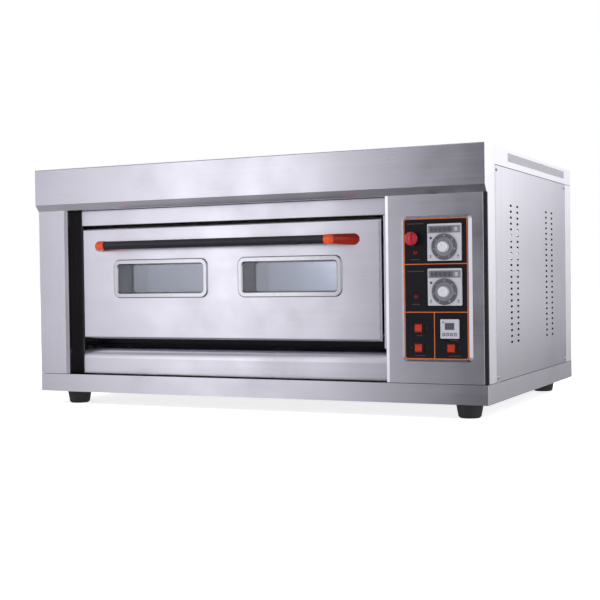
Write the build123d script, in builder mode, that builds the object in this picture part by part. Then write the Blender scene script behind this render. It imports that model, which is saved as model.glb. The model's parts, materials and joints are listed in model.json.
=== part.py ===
from build123d import *
from math import cos, radians, sin, sqrt
import os

# Electric deck oven: one baking deck with a pull-down door on the left, controls on the right.
# Millimetres. X runs left to right, Z up from the floor, Y from front to back. Depths are
# measured back from the front plane of the two columns, which stands at Y = FRONT.

# ---- Driving dimensions ----
WIDTH = 1300.0
BODY_DEPTH = 870.0
HEIGHT = 654.0
SHEET = 1.5
SEAM = 1.2
FIT_GAP = 0.2
SIDE_GAP = 0.3
FOOT_HEIGHT = 36.0
SKIRT_TOP = 84.0
HOOD_BOTTOM = 539.0
HOOD_LIP = 556.0
HOOD_PROUD = 14.0
HOOD_DEPTH = 70.0
BAND_BOTTOM = 609.0
CORNER_DEPTH = 71.0
REAR_POST_DEPTH = 72.0
PANEL_TOP = 607.4

BAY_LEFT = -554.0
BAY_RIGHT = 393.0
COLUMN_FOLD = 9.0
FOLD_SET_BACK = 3.0
RECESS = 38.0

DOOR_LEFT = -529.0
DOOR_RIGHT = 370.0
DOOR_BOTTOM = 182.0
DOOR_TOP = 488.0
DOOR_FRONT = 35.0
DOOR_THICKNESS = 80.0
HINGE_DEPTH = 56.0
HINGE_HEIGHT = 196.0
HINGE_PIN_RADIUS = 6.0
HINGE_CLEARANCE = 0.05

WINDOW_SPACING = 388.8
WINDOW_HEIGHT = 347.0
BEZEL_SIZE = (298.0, 106.0)
GLASS_SIZE = (269.0, 76.0)
SLEEVE_SIZE = (282.0, 90.0)

HANDLE_RADIUS = 11.0
HANDLE_DEPTH = -18.0
HANDLE_HEIGHT = 438.0
HANDLE_SPAN = 690.0
BRACKET_FOOT_SPAN = 762.0
HANDLE_SHIFT = -7.0

MOUTH_WIDTH = 870.0
CHAMBER_FRONT = 120.0
CHAMBER_BACK = 790.0
CHAMBER_FLOOR = 240.0
CHAMBER_CEILING = 470.0
INSULATION = 53.0
ELEMENT_RADIUS = 4.0
ELEMENT_LEGS = ((180.0, 300.0), (400.0, 520.0), (620.0, 740.0))

PLINTH_X = 525.0
PLINTH_Z = 312.5
PLINTH_RISE = 6.4
OVERLAY_THICKNESS = 0.8
CONTROLLER_X = 548.6
CONTROLLER_HEIGHTS = (("lower", 316.5), ("upper", 423.0))
CONTROLLER_FACE = (84.5, 88.5)
CONTROLLER_BODY = (80.0, 84.0)
DIAL_DROP = 11.0
TIMER_X = 560.0
TIMER_Z = 217.0
TIMER_FACE = 46.0
STOP_X = 470.5
STOP_Z = 433.0
STOP_REACH = 33.2
LAMPS = ((475.0, 399.5), (475.5, 293.5))
ROCKERS = {"rocker_power": (481.5, 218.5), "rocker_lamp": (481.5, 171.0), "rocker_timer": (563.0, 171.0)}

REAR_REACH = 25.0
FLUE_RADIUS = 25.0
FLUE_HEIGHT = 430.0
GLAND_X = 560.0
GLAND_Z = 130.0
GLAND_BORE = 9.0

# ---- Places worked out from them ----
FRONT = STOP_REACH - (STOP_REACH + BODY_DEPTH + REAR_REACH) / 2
SIDE = WIDTH / 2
PANEL_BOTTOM = SKIRT_TOP + SEAM
DOOR_BACK = DOOR_FRONT + DOOR_THICKNESS
DOOR_X = (DOOR_LEFT + DOOR_RIGHT) / 2
HANDLE_X = DOOR_X + HANDLE_SHIFT
WINDOW_XS = (DOOR_X - WINDOW_SPACING / 2, DOOR_X + WINDOW_SPACING / 2)
MOUTH_LEFT = DOOR_X - MOUTH_WIDTH / 2
MOUTH_RIGHT = DOOR_X + MOUTH_WIDTH / 2
PANEL_FACE = -PLINTH_RISE - OVERLAY_THICKNESS
FOOT_PLACES = [(x, depth) for x in (-563.0, 585.0) for depth in (60.0, 775.0)]
SIDE_SCREWS = [(depth, z) for depth in (84.0, 785.0) for z in (96.0, 597.0)]
REAR_SCREWS = [(x, z) for x in (-575.0, 0.0, 575.0) for z in (96.0, 597.0)]
SCREW_SHANK = 2.0
SCREW_HOLE = SCREW_SHANK + 0.1
SCREW_RIM = 0.6
SCREW_CROWN = (3.0, 1.7)
CROSS_SIZE = (4.4, 0.9, 2.4)
INSULATION_RIGHT = MOUTH_RIGHT + SHEET + INSULATION
PARTITION_X = INSULATION_RIGHT + 1.0
PARTITION_DEPTH = 72.0
THERMOCOUPLES = [(450.0, 300.0), (450.0, 430.0)]
LAMP_PLACE = (700.0, 405.0)
LAMP_RADIUS = 24.0
ELEMENT_HEIGHTS = {"lower": CHAMBER_FLOOR + 9.0, "upper": CHAMBER_CEILING - 11.0}


def block(x, depth, z, mode=Mode.ADD):
    """A box between two X, two depths and two heights."""
    centre = ((x[0] + x[1]) / 2, FRONT + (depth[0] + depth[1]) / 2, (z[0] + z[1]) / 2)
    with Locations(centre):
        Box(x[1] - x[0], depth[1] - depth[0], z[1] - z[0], mode=mode)


def facing(depth):
    """An upright plane across the oven at a depth; it faces the front, so X is right and Y is up."""
    return Plane.XZ.offset(-(FRONT + depth))


def plan(z):
    """A level plane whose local Y is a depth."""
    return Plane(origin=(0, FRONT, z), x_dir=(1, 0, 0), z_dir=(0, 0, 1))


def section(x):
    """An upright plane from front to back at an X; local X is a depth and local Y a height."""
    return Plane(origin=(x, FRONT, 0), x_dir=(0, 1, 0), z_dir=(1, 0, 0))


def turning(x, z):
    """The half plane for a part turned about a front-to-back axis: radius, then depth."""
    return Plane(origin=(x, FRONT, z), x_dir=(1, 0, 0), z_dir=(0, 0, 1))


def turn(x, z):
    """Revolves the pending profile about the front-to-back axis through X and Z."""
    revolve(axis=Axis((x, FRONT, z), (0, 1, 0)))


def folded(points, side=Side.LEFT, bend=1.8, gauge=SHEET):
    """The section of a folded sheet, from the line of its outer face."""
    with BuildLine() as outline:
        FilletPolyline(*points, radius=bend)
        offset(amount=gauge, side=side)
    make_face(outline.edges())


def drill_sideways(x, depth, z, radius, length):
    """A hole along X, centred on a place."""
    with Locations((x, FRONT + depth, z)):
        Cylinder(radius, length, rotation=(0, 90, 0), mode=Mode.SUBTRACT)


def drill_back(x, depth, z, radius, length):
    """A hole along Y, centred on a place."""
    with Locations((x, FRONT + depth, z)):
        Cylinder(radius, length, rotation=(90, 0, 0), mode=Mode.SUBTRACT)


def ring(depths, outer, inner, corners):
    """A frame between two depths: outer and inner are (x0, x1, z0, z1), corners two radii."""
    for (x0, x1, z0, z1), corner, mode in zip((outer, inner), corners, (Mode.ADD, Mode.SUBTRACT)):
        with BuildSketch(facing(depths[0])) as outline:
            with Locations(((x0 + x1) / 2, (z0 + z1) / 2)):
                RectangleRounded(x1 - x0, z1 - z0, corner)
        extrude(outline.sketch, amount=-(depths[1] - depths[0]), mode=mode)


def finish(part, label):
    """Names a finished piece and writes it."""
    part.label = label
    export_step(part, f"parts/{label}.step")


os.makedirs("parts", exist_ok=True)

# ---- Base ----
BOLT_HOLE = 5.2
CORNER_ROUND = 2.0
with BuildPart() as base_tray:
    block((-SIDE, SIDE), (0, BODY_DEPTH), (FOOT_HEIGHT, SKIRT_TOP))
    fillet(base_tray.edges().filter_by(Axis.Z), CORNER_ROUND)
    block(
        (-SIDE + SHEET, SIDE - SHEET),
        (SHEET, BODY_DEPTH - SHEET),
        (FOOT_HEIGHT + SHEET, SKIRT_TOP + SHEET),
        mode=Mode.SUBTRACT,
    )
    with BuildSketch(plan(FOOT_HEIGHT)):
        with Locations(*FOOT_PLACES):
            Circle(BOLT_HOLE)
    extrude(amount=SHEET, mode=Mode.SUBTRACT)
finish(base_tray.part, "base_tray")

FOOT_TOP_RADIUS = 33.0
FOOT_BOTTOM_RADIUS = 28.0
BOLT_SEAT = 14.0
FOOT_WELL = 10.5
with BuildPart() as rubber_feet:
    for x, depth in FOOT_PLACES:
        with BuildSketch(Plane(origin=(x, FRONT + depth, 0), x_dir=(1, 0, 0), z_dir=(0, -1, 0))):
            with BuildLine():
                Polyline(
                    (BOLT_HOLE, FOOT_HEIGHT),
                    (FOOT_TOP_RADIUS, FOOT_HEIGHT),
                    (FOOT_TOP_RADIUS, FOOT_HEIGHT - 4),
                    (FOOT_BOTTOM_RADIUS, 4),
                    (FOOT_BOTTOM_RADIUS - 4, 0),
                    (FOOT_WELL, 0),
                    (FOOT_WELL, BOLT_SEAT),
                    (BOLT_HOLE, BOLT_SEAT),
                    close=True,
                )
            make_face()
        revolve(axis=Axis((x, FRONT + depth, 0), (0, 0, 1)))
finish(rubber_feet.part, "rubber_feet")

BOLT_RADIUS = 5.0
BOLT_HEAD_HEIGHT = 6.0
BOLT_HEAD_RADIUS = 9.0
NUT_RADIUS = 9.8
BOLT_END = 4.0
NUT_HEIGHT = 8.0
with BuildPart() as foot_bolts:
    for x, depth in FOOT_PLACES:
        foot_centre = Plane(origin=(x, FRONT + depth, BOLT_SEAT - BOLT_HEAD_HEIGHT))
        with BuildSketch(foot_centre):
            RegularPolygon(BOLT_HEAD_RADIUS, 6)
        extrude(amount=BOLT_HEAD_HEIGHT)
        with BuildSketch(foot_centre.offset(BOLT_HEAD_HEIGHT)):
            Circle(BOLT_RADIUS)
        extrude(amount=FOOT_HEIGHT - BOLT_SEAT + SHEET + NUT_HEIGHT + BOLT_END)
        with BuildSketch(Plane(origin=(x, FRONT + depth, FOOT_HEIGHT + SHEET))):
            RegularPolygon(NUT_RADIUS, 6)
        extrude(amount=NUT_HEIGHT)
finish(foot_bolts.part, "foot_bolts")

RAIL_TOP = CHAMBER_FLOOR - SHEET - INSULATION
RAIL_BASE = FOOT_HEIGHT + SHEET
RAIL_DEPTHS = (160.0, 700.0)
RAIL_FLANGE = 40.0
RAIL_GAUGE = 2.0
POST_WIDTH = 30.0
POST_GAUGE = 2.5
POST_TOP = 600.0
FRONT_POST_DEPTH = 80.0
REAR_POST_EDGE = BODY_DEPTH - SHEET - 0.5
with BuildPart() as inner_frame:
    for depth in RAIL_DEPTHS:
        rail_line = [
            (depth + RAIL_FLANGE, RAIL_BASE),
            (depth, RAIL_BASE),
            (depth, RAIL_TOP),
            (depth + RAIL_FLANGE, RAIL_TOP),
        ]
        with BuildSketch(section(-SIDE + SHEET)):
            folded(rail_line, side=Side.RIGHT, bend=3.0, gauge=RAIL_GAUGE)
        extrude(amount=WIDTH - 2 * SHEET)
    for side in (-1, 1):
        outer_x = side * (SIDE - SHEET)
        inner_x = outer_x - side * POST_WIDTH
        web_x = outer_x - side * POST_GAUGE
        for depth, turned in ((FRONT_POST_DEPTH, 1), (REAR_POST_EDGE, -1)):
            with BuildSketch(plan(RAIL_BASE)):
                with BuildLine():
                    Polyline(
                        (outer_x, depth),
                        (inner_x, depth),
                        (inner_x, depth + turned * POST_GAUGE),
                        (web_x, depth + turned * POST_GAUGE),
                        (web_x, depth + turned * POST_WIDTH),
                        (outer_x, depth + turned * POST_WIDTH),
                        close=True,
                    )
                make_face()
            extrude(amount=POST_TOP - RAIL_BASE)
        rail_span = (FRONT_POST_DEPTH + POST_WIDTH, REAR_POST_EDGE - POST_WIDTH)
        block(sorted((outer_x, inner_x)), rail_span, (POST_TOP - POST_GAUGE, POST_TOP))
        block(sorted((outer_x, web_x)), rail_span, (POST_TOP - POST_WIDTH, POST_TOP))
finish(inner_frame.part, "inner_frame")

# ---- Outer casing ----
FOLD_LENGTH = HOOD_BOTTOM - PANEL_BOTTOM
with BuildPart() as left_column:
    left_line = [
        (-SIDE, CORNER_DEPTH),
        (-SIDE, 0),
        (BAY_LEFT - COLUMN_FOLD, 0),
        (BAY_LEFT, FOLD_SET_BACK),
        (BAY_LEFT, RECESS),
    ]
    with BuildSketch(plan(PANEL_BOTTOM)):
        folded(left_line)
    extrude(amount=FOLD_LENGTH)
finish(left_column.part, "left_column")

CORNER_STRIP = 8.3
FASCIA_RIGHT = SIDE - CORNER_STRIP
PLINTH_BASE = (177.0, 350.0)
PLINTH_FLAT = (163.0, 340.0)
STOP_HOLE = 11.0
LAMP_HOLE = 4.1
ROCKER_BODY = (20.0, 23.0)
CUT_CLEARANCE = 0.5


def control_cutouts(depth, thickness):
    """Cuts the holes for every control through a sheet that starts at a depth."""
    with BuildSketch(facing(depth)) as cutouts:
        for _, z in CONTROLLER_HEIGHTS:
            with Locations((CONTROLLER_X, z)):
                Rectangle(CONTROLLER_BODY[0] + CUT_CLEARANCE, CONTROLLER_BODY[1] + CUT_CLEARANCE)
        with Locations((TIMER_X, TIMER_Z)):
            Rectangle(TIMER_FACE - 3, TIMER_FACE - 3)
        with Locations((STOP_X, STOP_Z)):
            Circle(STOP_HOLE)
        with Locations(*LAMPS):
            Circle(LAMP_HOLE)
        with Locations(*ROCKERS.values()):
            Rectangle(ROCKER_BODY[0] + CUT_CLEARANCE, ROCKER_BODY[1] + CUT_CLEARANCE)
    extrude(cutouts.sketch, amount=-thickness, mode=Mode.SUBTRACT)


with BuildPart() as control_column:
    fascia_line = [
        (BAY_RIGHT, RECESS),
        (BAY_RIGHT, FOLD_SET_BACK),
        (BAY_RIGHT + COLUMN_FOLD, 0),
        (FASCIA_RIGHT, 0),
        (FASCIA_RIGHT, CORNER_STRIP + 4),
    ]
    with BuildSketch(plan(PANEL_BOTTOM)):
        folded(fascia_line)
    extrude(amount=FOLD_LENGTH)
    for inset, start, mode in ((0.0, 0.0, Mode.ADD), (SHEET, SHEET + 0.01, Mode.SUBTRACT)):
        with BuildSketch(facing(start)):
            with Locations((PLINTH_X, PLINTH_Z)):
                RectangleRounded(PLINTH_BASE[0] - 2 * inset, PLINTH_BASE[1] - 2 * inset, 12 - inset)
        with BuildSketch(facing(inset - PLINTH_RISE)):
            with Locations((PLINTH_X, PLINTH_Z)):
                RectangleRounded(PLINTH_FLAT[0] - 2 * inset, PLINTH_FLAT[1] - 2 * inset, 8 - inset)
        loft(mode=mode)
    control_cutouts(-PLINTH_RISE, SHEET + CUT_CLEARANCE)
finish(control_column.part, "control_column")

with BuildPart() as corner_strip:
    strip_x = (FASCIA_RIGHT + FIT_GAP, SIDE)
    block(strip_x, (0.3, CORNER_STRIP), (PANEL_BOTTOM, HOOD_BOTTOM))
    fillet(corner_strip.edges().filter_by(Axis.Z).sort_by(Axis.Y)[:2].sort_by(Axis.X)[-1], 2.0)
finish(corner_strip.part, "corner_strip")

POST_RETURN = 12.0
with BuildPart() as right_front_post:
    front_post_line = [
        (SIDE, CORNER_STRIP + FIT_GAP),
        (SIDE, CORNER_DEPTH),
        (SIDE - POST_RETURN, CORNER_DEPTH),
    ]
    with BuildSketch(plan(PANEL_BOTTOM)):
        folded(front_post_line)
    extrude(amount=FOLD_LENGTH)
finish(right_front_post.part, "right_front_post")

REAR_RETURN = 62.0
with BuildPart() as rear_posts:
    for side in (-1, 1):
        rear_post_line = [
            (side * SIDE, BODY_DEPTH - REAR_POST_DEPTH),
            (side * SIDE, BODY_DEPTH),
            (side * (SIDE - REAR_RETURN), BODY_DEPTH),
        ]
        with BuildSketch(plan(PANEL_BOTTOM)):
            folded(rear_post_line, side=Side.LEFT if side > 0 else Side.RIGHT)
        extrude(amount=BAND_BOTTOM - SEAM - PANEL_BOTTOM)
finish(rear_posts.part, "rear_posts")

VENT_HOLE = (18.0, 5.5)
HOLE_PITCH = 14.8
HOLE_ROWS = 24
HOLE_COLUMNS = (208.0, 269.0, 568.0, 632.0)
HOLES_MIDDLE = 345.75
SIDE_PANEL_SPAN = (CORNER_DEPTH + SEAM, BODY_DEPTH - REAR_POST_DEPTH - SEAM)
with BuildPart() as side_panels:
    for side in (-1, 1):
        panel_x = sorted((side * SIDE, side * (SIDE - SHEET)))
        block(panel_x, SIDE_PANEL_SPAN, (PANEL_BOTTOM, PANEL_TOP))
        with BuildSketch(section(panel_x[0])):
            for depth in HOLE_COLUMNS:
                with Locations((depth, HOLES_MIDDLE)):
                    with GridLocations(1, HOLE_PITCH, 1, HOLE_ROWS):
                        SlotOverall(*VENT_HOLE)
            with Locations(*SIDE_SCREWS):
                Circle(SCREW_HOLE)
        extrude(amount=SHEET, mode=Mode.SUBTRACT)
finish(side_panels.part, "side_panels")

LOUVRE_SIZE = (60.0, 5.0)
LOUVRE_PITCH = 14.0
LOUVRE_PLACE = (500.0, 430.0)
LOUVRE_SPACE = 20.0
LOUVRE_ROWS = 12
with BuildPart() as rear_panel:
    panel_half = SIDE - REAR_RETURN - SEAM
    panel_depth = (BODY_DEPTH - SHEET, BODY_DEPTH)
    block((-panel_half, panel_half), panel_depth, (PANEL_BOTTOM, BAND_BOTTOM - SEAM))
    with BuildSketch(facing(BODY_DEPTH)):
        with Locations((DOOR_X, FLUE_HEIGHT)):
            Circle(FLUE_RADIUS + 0.3)
        with Locations((GLAND_X, GLAND_Z)):
            Circle(GLAND_BORE + 3.1)
        with Locations(LOUVRE_PLACE):
            with GridLocations(LOUVRE_SIZE[0] + LOUVRE_SPACE, LOUVRE_PITCH, 2, LOUVRE_ROWS):
                SlotOverall(*LOUVRE_SIZE)
        with Locations(*REAR_SCREWS):
            Circle(SCREW_HOLE)
    extrude(amount=SHEET + 0.1, mode=Mode.SUBTRACT)
finish(rear_panel.part, "rear_panel")

SCREW_HEAD_RADIUS = 4.2
SCREW_HEAD_HEIGHT = 2.2
SCREW_LENGTH = 8.0
with BuildPart() as screw_model:
    with BuildSketch(Plane.XZ):
        with BuildLine():
            Line((0, -SCREW_LENGTH), (SCREW_SHANK, -SCREW_LENGTH))
            Line((SCREW_SHANK, -SCREW_LENGTH), (SCREW_SHANK, 0))
            Line((SCREW_SHANK, 0), (SCREW_HEAD_RADIUS, 0))
            Line((SCREW_HEAD_RADIUS, 0), (SCREW_HEAD_RADIUS, SCREW_RIM))
            ThreePointArc((SCREW_HEAD_RADIUS, SCREW_RIM), SCREW_CROWN, (0, SCREW_HEAD_HEIGHT))
            Line((0, SCREW_HEAD_HEIGHT), (0, -SCREW_LENGTH))
        make_face()
    revolve(axis=Axis.Z)
    for cross_turn in (0, 90):
        with Locations((0, 0, SCREW_HEAD_HEIGHT)):
            Box(CROSS_SIZE[0], CROSS_SIZE[1], CROSS_SIZE[2], rotation=(0, 0, cross_turn), mode=Mode.SUBTRACT)

side_screw_planes = [
    Plane(origin=(side * SIDE, FRONT + depth, z), x_dir=(0, 1, 0), z_dir=(side, 0, 0))
    for side in (-1, 1)
    for depth, z in SIDE_SCREWS
]
rear_screw_planes = [
    Plane(origin=(x, FRONT + BODY_DEPTH, z), x_dir=(1, 0, 0), z_dir=(0, 1, 0)) for x, z in REAR_SCREWS
]
with BuildPart() as panel_screws:
    with Locations(*side_screw_planes, *rear_screw_planes):
        add(screw_model.part)
finish(panel_screws.part, "panel_screws")

# ---- Hood over the front, and the top cover behind it ----
with BuildPart() as canopy_hood:
    hood_outline = [
        (HOOD_DEPTH, HEIGHT),
        (-HOOD_PROUD, HEIGHT),
        (-HOOD_PROUD, HOOD_LIP),
        (0, HOOD_BOTTOM),
        (HOOD_DEPTH, HOOD_BOTTOM),
    ]
    with BuildSketch(section(-SIDE)):
        with BuildLine():
            Polyline(*hood_outline, close=True)
        make_face()
    extrude(amount=WIDTH)
    top_front_edges = canopy_hood.edges().filter_by(Axis.X).group_by(Axis.Y)[0]
    fillet(top_front_edges.sort_by(Axis.Z)[-1], 3.0)
    hood_hollow = [
        (HOOD_DEPTH + 1, HEIGHT - SHEET),
        (SHEET - HOOD_PROUD, HEIGHT - SHEET),
        (SHEET - HOOD_PROUD, HOOD_LIP + SHEET / 2),
        (SHEET / 2, HOOD_BOTTOM + SHEET),
        (HOOD_DEPTH + 1, HOOD_BOTTOM + SHEET),
    ]
    with BuildSketch(section(SHEET - SIDE)):
        with BuildLine():
            Polyline(*hood_hollow, close=True)
        make_face()
    extrude(amount=WIDTH - 2 * SHEET, mode=Mode.SUBTRACT)
finish(canopy_hood.part, "canopy_hood")

VENT_SPAN = (184.0, 788.0)
VENT_MIDDLE = 635.0
VENT_SLOT = (22.0, 3.6)
VENT_SLOTS = 76
with BuildPart() as top_cover:
    block((-SIDE, SIDE), (HOOD_DEPTH + 0.5, BODY_DEPTH), (BAND_BOTTOM, HEIGHT))
    block(
        (SHEET - SIDE, SIDE - SHEET),
        (HOOD_DEPTH, BODY_DEPTH - SHEET),
        (BAND_BOTTOM - 1, HEIGHT - SHEET),
        mode=Mode.SUBTRACT,
    )
    with BuildSketch(section(-SIDE - 1)):
        with Locations(((VENT_SPAN[0] + VENT_SPAN[1]) / 2, VENT_MIDDLE)):
            with GridLocations((VENT_SPAN[1] - VENT_SPAN[0]) / VENT_SLOTS, 1, VENT_SLOTS, 1):
                SlotOverall(*VENT_SLOT, rotation=90)
    extrude(amount=WIDTH + 2, mode=Mode.SUBTRACT)
finish(top_cover.part, "top_cover")

# ---- Frame of the door bay ----
JAMB_GAUGE = 1.2
with BuildPart() as jamb_channel:
    jamb_line = [
        (BAY_LEFT + FIT_GAP, 3.5),
        (BAY_LEFT + FIT_GAP, RECESS + 3.5),
        (DOOR_LEFT - 2.5, RECESS + 3.5),
        (DOOR_LEFT - 2.5, RECESS + 6.5),
    ]
    with BuildSketch(plan(PANEL_BOTTOM)):
        folded(jamb_line, side=Side.RIGHT, bend=1.4, gauge=JAMB_GAUGE)
    extrude(amount=FOLD_LENGTH - FIT_GAP)
finish(jamb_channel.part, "jamb_channel")

RAIL_BOTTOM = 495.5
with BuildPart() as upper_rail:
    upper_rail_line = [
        (DOOR_BACK + 1, RAIL_BOTTOM),
        (RECESS, RAIL_BOTTOM),
        (RECESS, HOOD_BOTTOM - FIT_GAP),
        (HOOD_DEPTH, HOOD_BOTTOM - FIT_GAP),
    ]
    with BuildSketch(section(DOOR_LEFT - 1)):
        folded(upper_rail_line, side=Side.RIGHT)
    extrude(amount=BAY_RIGHT - DOOR_LEFT + 0.8)
finish(upper_rail.part, "upper_rail")

SILL_TOP = 164.0
SILL_EDGE = 128.0
SILL_BULL_RADIUS = 32.0
SILL_LEDGE = 20.0
SILL_DEPTH = CHAMBER_FRONT + SHEET
STILE_LEFT = 374.5
with BuildPart() as right_stile:
    stile_line = [
        (STILE_LEFT, RECESS + 6),
        (STILE_LEFT, RECESS),
        (BAY_RIGHT - SIDE_GAP, RECESS),
        (BAY_RIGHT - SIDE_GAP, RECESS + 8),
    ]
    with BuildSketch(plan(SILL_TOP + 1)):
        folded(stile_line)
    extrude(amount=RAIL_BOTTOM - SILL_TOP - 1.2)
finish(right_stile.part, "right_stile")

with BuildPart() as sill_apron:
    for inset, x0, x1, mode in (
        (0.0, DOOR_LEFT, BAY_RIGHT - SIDE_GAP, Mode.ADD),
        (SHEET, DOOR_LEFT + 5, BAY_RIGHT - 5, Mode.SUBTRACT),
    ):
        with BuildSketch(section(x0)):
            with BuildLine():
                sill_bottom = PANEL_BOTTOM - inset
                sill_back = SILL_DEPTH + inset
                Polyline(
                    (RECESS + inset, SILL_EDGE),
                    (RECESS + inset, sill_bottom),
                    (sill_back, sill_bottom),
                    (sill_back, SILL_TOP - inset),
                    (SILL_DEPTH - SILL_LEDGE, SILL_TOP - inset),
                    (RECESS + SILL_BULL_RADIUS, SILL_EDGE + SILL_BULL_RADIUS - inset),
                )
                RadiusArc(
                    (RECESS + inset, SILL_EDGE),
                    (RECESS + SILL_BULL_RADIUS, SILL_EDGE + SILL_BULL_RADIUS - inset),
                    SILL_BULL_RADIUS - inset,
                )
            make_face()
        extrude(amount=x1 - x0, mode=mode)
    upstand_x = (DOOR_LEFT, BAY_RIGHT - SIDE_GAP)
    block(upstand_x, (CHAMBER_FRONT, CHAMBER_FRONT + SHEET), (SILL_TOP - SHEET, CHAMBER_FLOOR - 15))
finish(sill_apron.part, "sill_apron")

# ---- Baking chamber ----
FLANGE_OUT = 13.0
FLANGE_X = (DOOR_LEFT + 2, DOOR_RIGHT - 2)
FLANGE_Z = (CHAMBER_FLOOR - FLANGE_OUT, CHAMBER_CEILING + FLANGE_OUT)
WIRE_HOLE = ELEMENT_RADIUS + 0.3
PROBE_RADIUS = 3.0


def chamber_services(x, length):
    """Cuts the holes through an upright side wall for the elements, probes and lamp."""
    for height in ELEMENT_HEIGHTS.values():
        for legs in ELEMENT_LEGS:
            for depth in legs:
                drill_sideways(x, depth, height, WIRE_HOLE, length)
    for depth, height in THERMOCOUPLES:
        drill_sideways(x, depth, height, PROBE_RADIUS + 0.3, length)
    drill_sideways(x, LAMP_PLACE[0], LAMP_PLACE[1], LAMP_RADIUS + 0.5, length)


with BuildPart() as chamber_liner:
    wall_x = (MOUTH_LEFT - SHEET, MOUTH_RIGHT + SHEET)
    wall_z = (CHAMBER_FLOOR - SHEET, CHAMBER_CEILING + SHEET)
    block(wall_x, (CHAMBER_FRONT, CHAMBER_BACK + SHEET), wall_z)
    block(FLANGE_X, (CHAMBER_FRONT - SHEET, CHAMBER_FRONT), FLANGE_Z)
    block(
        (MOUTH_LEFT, MOUTH_RIGHT),
        (CHAMBER_FRONT - 2 * SHEET, CHAMBER_BACK),
        (CHAMBER_FLOOR, CHAMBER_CEILING),
        mode=Mode.SUBTRACT,
    )
    chamber_services(MOUTH_RIGHT, 10)
    drill_back(DOOR_X, CHAMBER_BACK, FLUE_HEIGHT, FLUE_RADIUS - SHEET, 10)
finish(chamber_liner.part, "chamber_liner")

GASKET_WIDTH = 10.0
GASKET_GAP = 0.3
with BuildPart() as mouth_gasket:
    gasket_outer = (FLANGE_X[0] + 1, FLANGE_X[1] - 1, FLANGE_Z[0] + 1, FLANGE_Z[1] - 1)
    gasket_inner = tuple(
        edge + GASKET_WIDTH * (1 if index % 2 == 0 else -1) for index, edge in enumerate(gasket_outer)
    )
    ring((DOOR_BACK + GASKET_GAP, CHAMBER_FRONT - SHEET), gasket_outer, gasket_inner, (10, 4))
finish(mouth_gasket.part, "mouth_gasket")

LINER_X = (MOUTH_LEFT - SHEET - 1, MOUTH_RIGHT + SHEET + 1)
LINER_Z = (CHAMBER_FLOOR - SHEET, CHAMBER_CEILING + SHEET)
SLAB_FRONT = CHAMBER_FRONT + 4
SLAB_BACK = BODY_DEPTH - SHEET - 2
SLAB_X = (LINER_X[0] - INSULATION, INSULATION_RIGHT)
with BuildPart() as insulation:
    block(SLAB_X, (SLAB_FRONT, SLAB_BACK), (LINER_Z[1] + 1, LINER_Z[1] + INSULATION))
    block(SLAB_X, (SLAB_FRONT, SLAB_BACK), (RAIL_TOP, LINER_Z[0]))
    block((SLAB_X[0], LINER_X[0]), (SLAB_FRONT, SLAB_BACK), (LINER_Z[0] + 1, LINER_Z[1]))
    block((LINER_X[1], SLAB_X[1]), (SLAB_FRONT, SLAB_BACK), (LINER_Z[0] + 1, LINER_Z[1]))
    back_slab_x = (LINER_X[0] + 1, LINER_X[1] - 1)
    block(back_slab_x, (CHAMBER_BACK + SHEET + 1, SLAB_BACK), (LINER_Z[0] + 1, LINER_Z[1]))
    chamber_services(MOUTH_RIGHT + INSULATION / 2 + 5, INSULATION + 15)
    drill_back(DOOR_X, CHAMBER_BACK + 50, FLUE_HEIGHT, FLUE_RADIUS + 0.5, 110)
finish(insulation.part, "insulation")

with BuildPart() as bay_partition:
    block((PARTITION_X, PARTITION_X + SHEET), (PARTITION_DEPTH, 866), (RAIL_TOP + 1, POST_TOP))
    chamber_services(PARTITION_X, 10)
finish(bay_partition.part, "bay_partition")

HEARTH_GAUGE = 6.0
HEARTH_HEIGHT = CHAMBER_FLOOR + 18.0
SUPPORT_DEPTHS = (150.0, 350.0, 570.0, 768.0)
HEARTH_GAP = 2.0
HEARTH_JOINT = 1.0
HEARTH_INSET = 4.0
with BuildPart() as hearth_supports:
    for depth in SUPPORT_DEPTHS:
        support_x = (MOUTH_LEFT + HEARTH_GAP, MOUTH_RIGHT - HEARTH_GAP)
        block(support_x, (depth - SHEET, depth + SHEET), (CHAMBER_FLOOR, HEARTH_HEIGHT))
finish(hearth_supports.part, "hearth_supports")

with BuildPart() as hearth_plates:
    for x0, x1 in (
        (MOUTH_LEFT + HEARTH_GAP, DOOR_X - HEARTH_JOINT),
        (DOOR_X + HEARTH_JOINT, MOUTH_RIGHT - HEARTH_GAP),
    ):
        hearth_depth = (CHAMBER_FRONT + HEARTH_INSET, CHAMBER_BACK - HEARTH_INSET)
        block((x0, x1), hearth_depth, (HEARTH_HEIGHT, HEARTH_HEIGHT + HEARTH_GAUGE))
finish(hearth_plates.part, "hearth_plates")

ELEMENT_END = PARTITION_X + 14
ELEMENT_BEND = 40.0
ELEMENT_INSET = 30.0
PROBE_REACH = 90.0
PROBE_NUT = 8.0
with BuildPart() as heating_elements:
    for height in ELEMENT_HEIGHTS.values():
        for front_leg, rear_leg in ELEMENT_LEGS:
            with BuildLine(plan(height)):
                FilletPolyline(
                    (ELEMENT_END, front_leg),
                    (MOUTH_LEFT + ELEMENT_INSET, front_leg),
                    (MOUTH_LEFT + ELEMENT_INSET, rear_leg),
                    (ELEMENT_END, rear_leg),
                    radius=ELEMENT_BEND,
                )
            with BuildSketch(Plane(origin=(ELEMENT_END, FRONT + front_leg, height), z_dir=(-1, 0, 0))):
                Circle(ELEMENT_RADIUS)
            sweep()
finish(heating_elements.part, "heating_elements")

with BuildPart() as thermocouples:
    for depth, height in THERMOCOUPLES:
        with BuildSketch(section(PARTITION_X - PROBE_REACH)):
            with Locations((depth, height)):
                Circle(PROBE_RADIUS)
        extrude(amount=90 + SHEET)
        with BuildSketch(section(PARTITION_X + SHEET)):
            with Locations((depth, height)):
                RegularPolygon(PROBE_NUT, 6)
        extrude(amount=14)
finish(thermocouples.part, "thermocouples")

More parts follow.
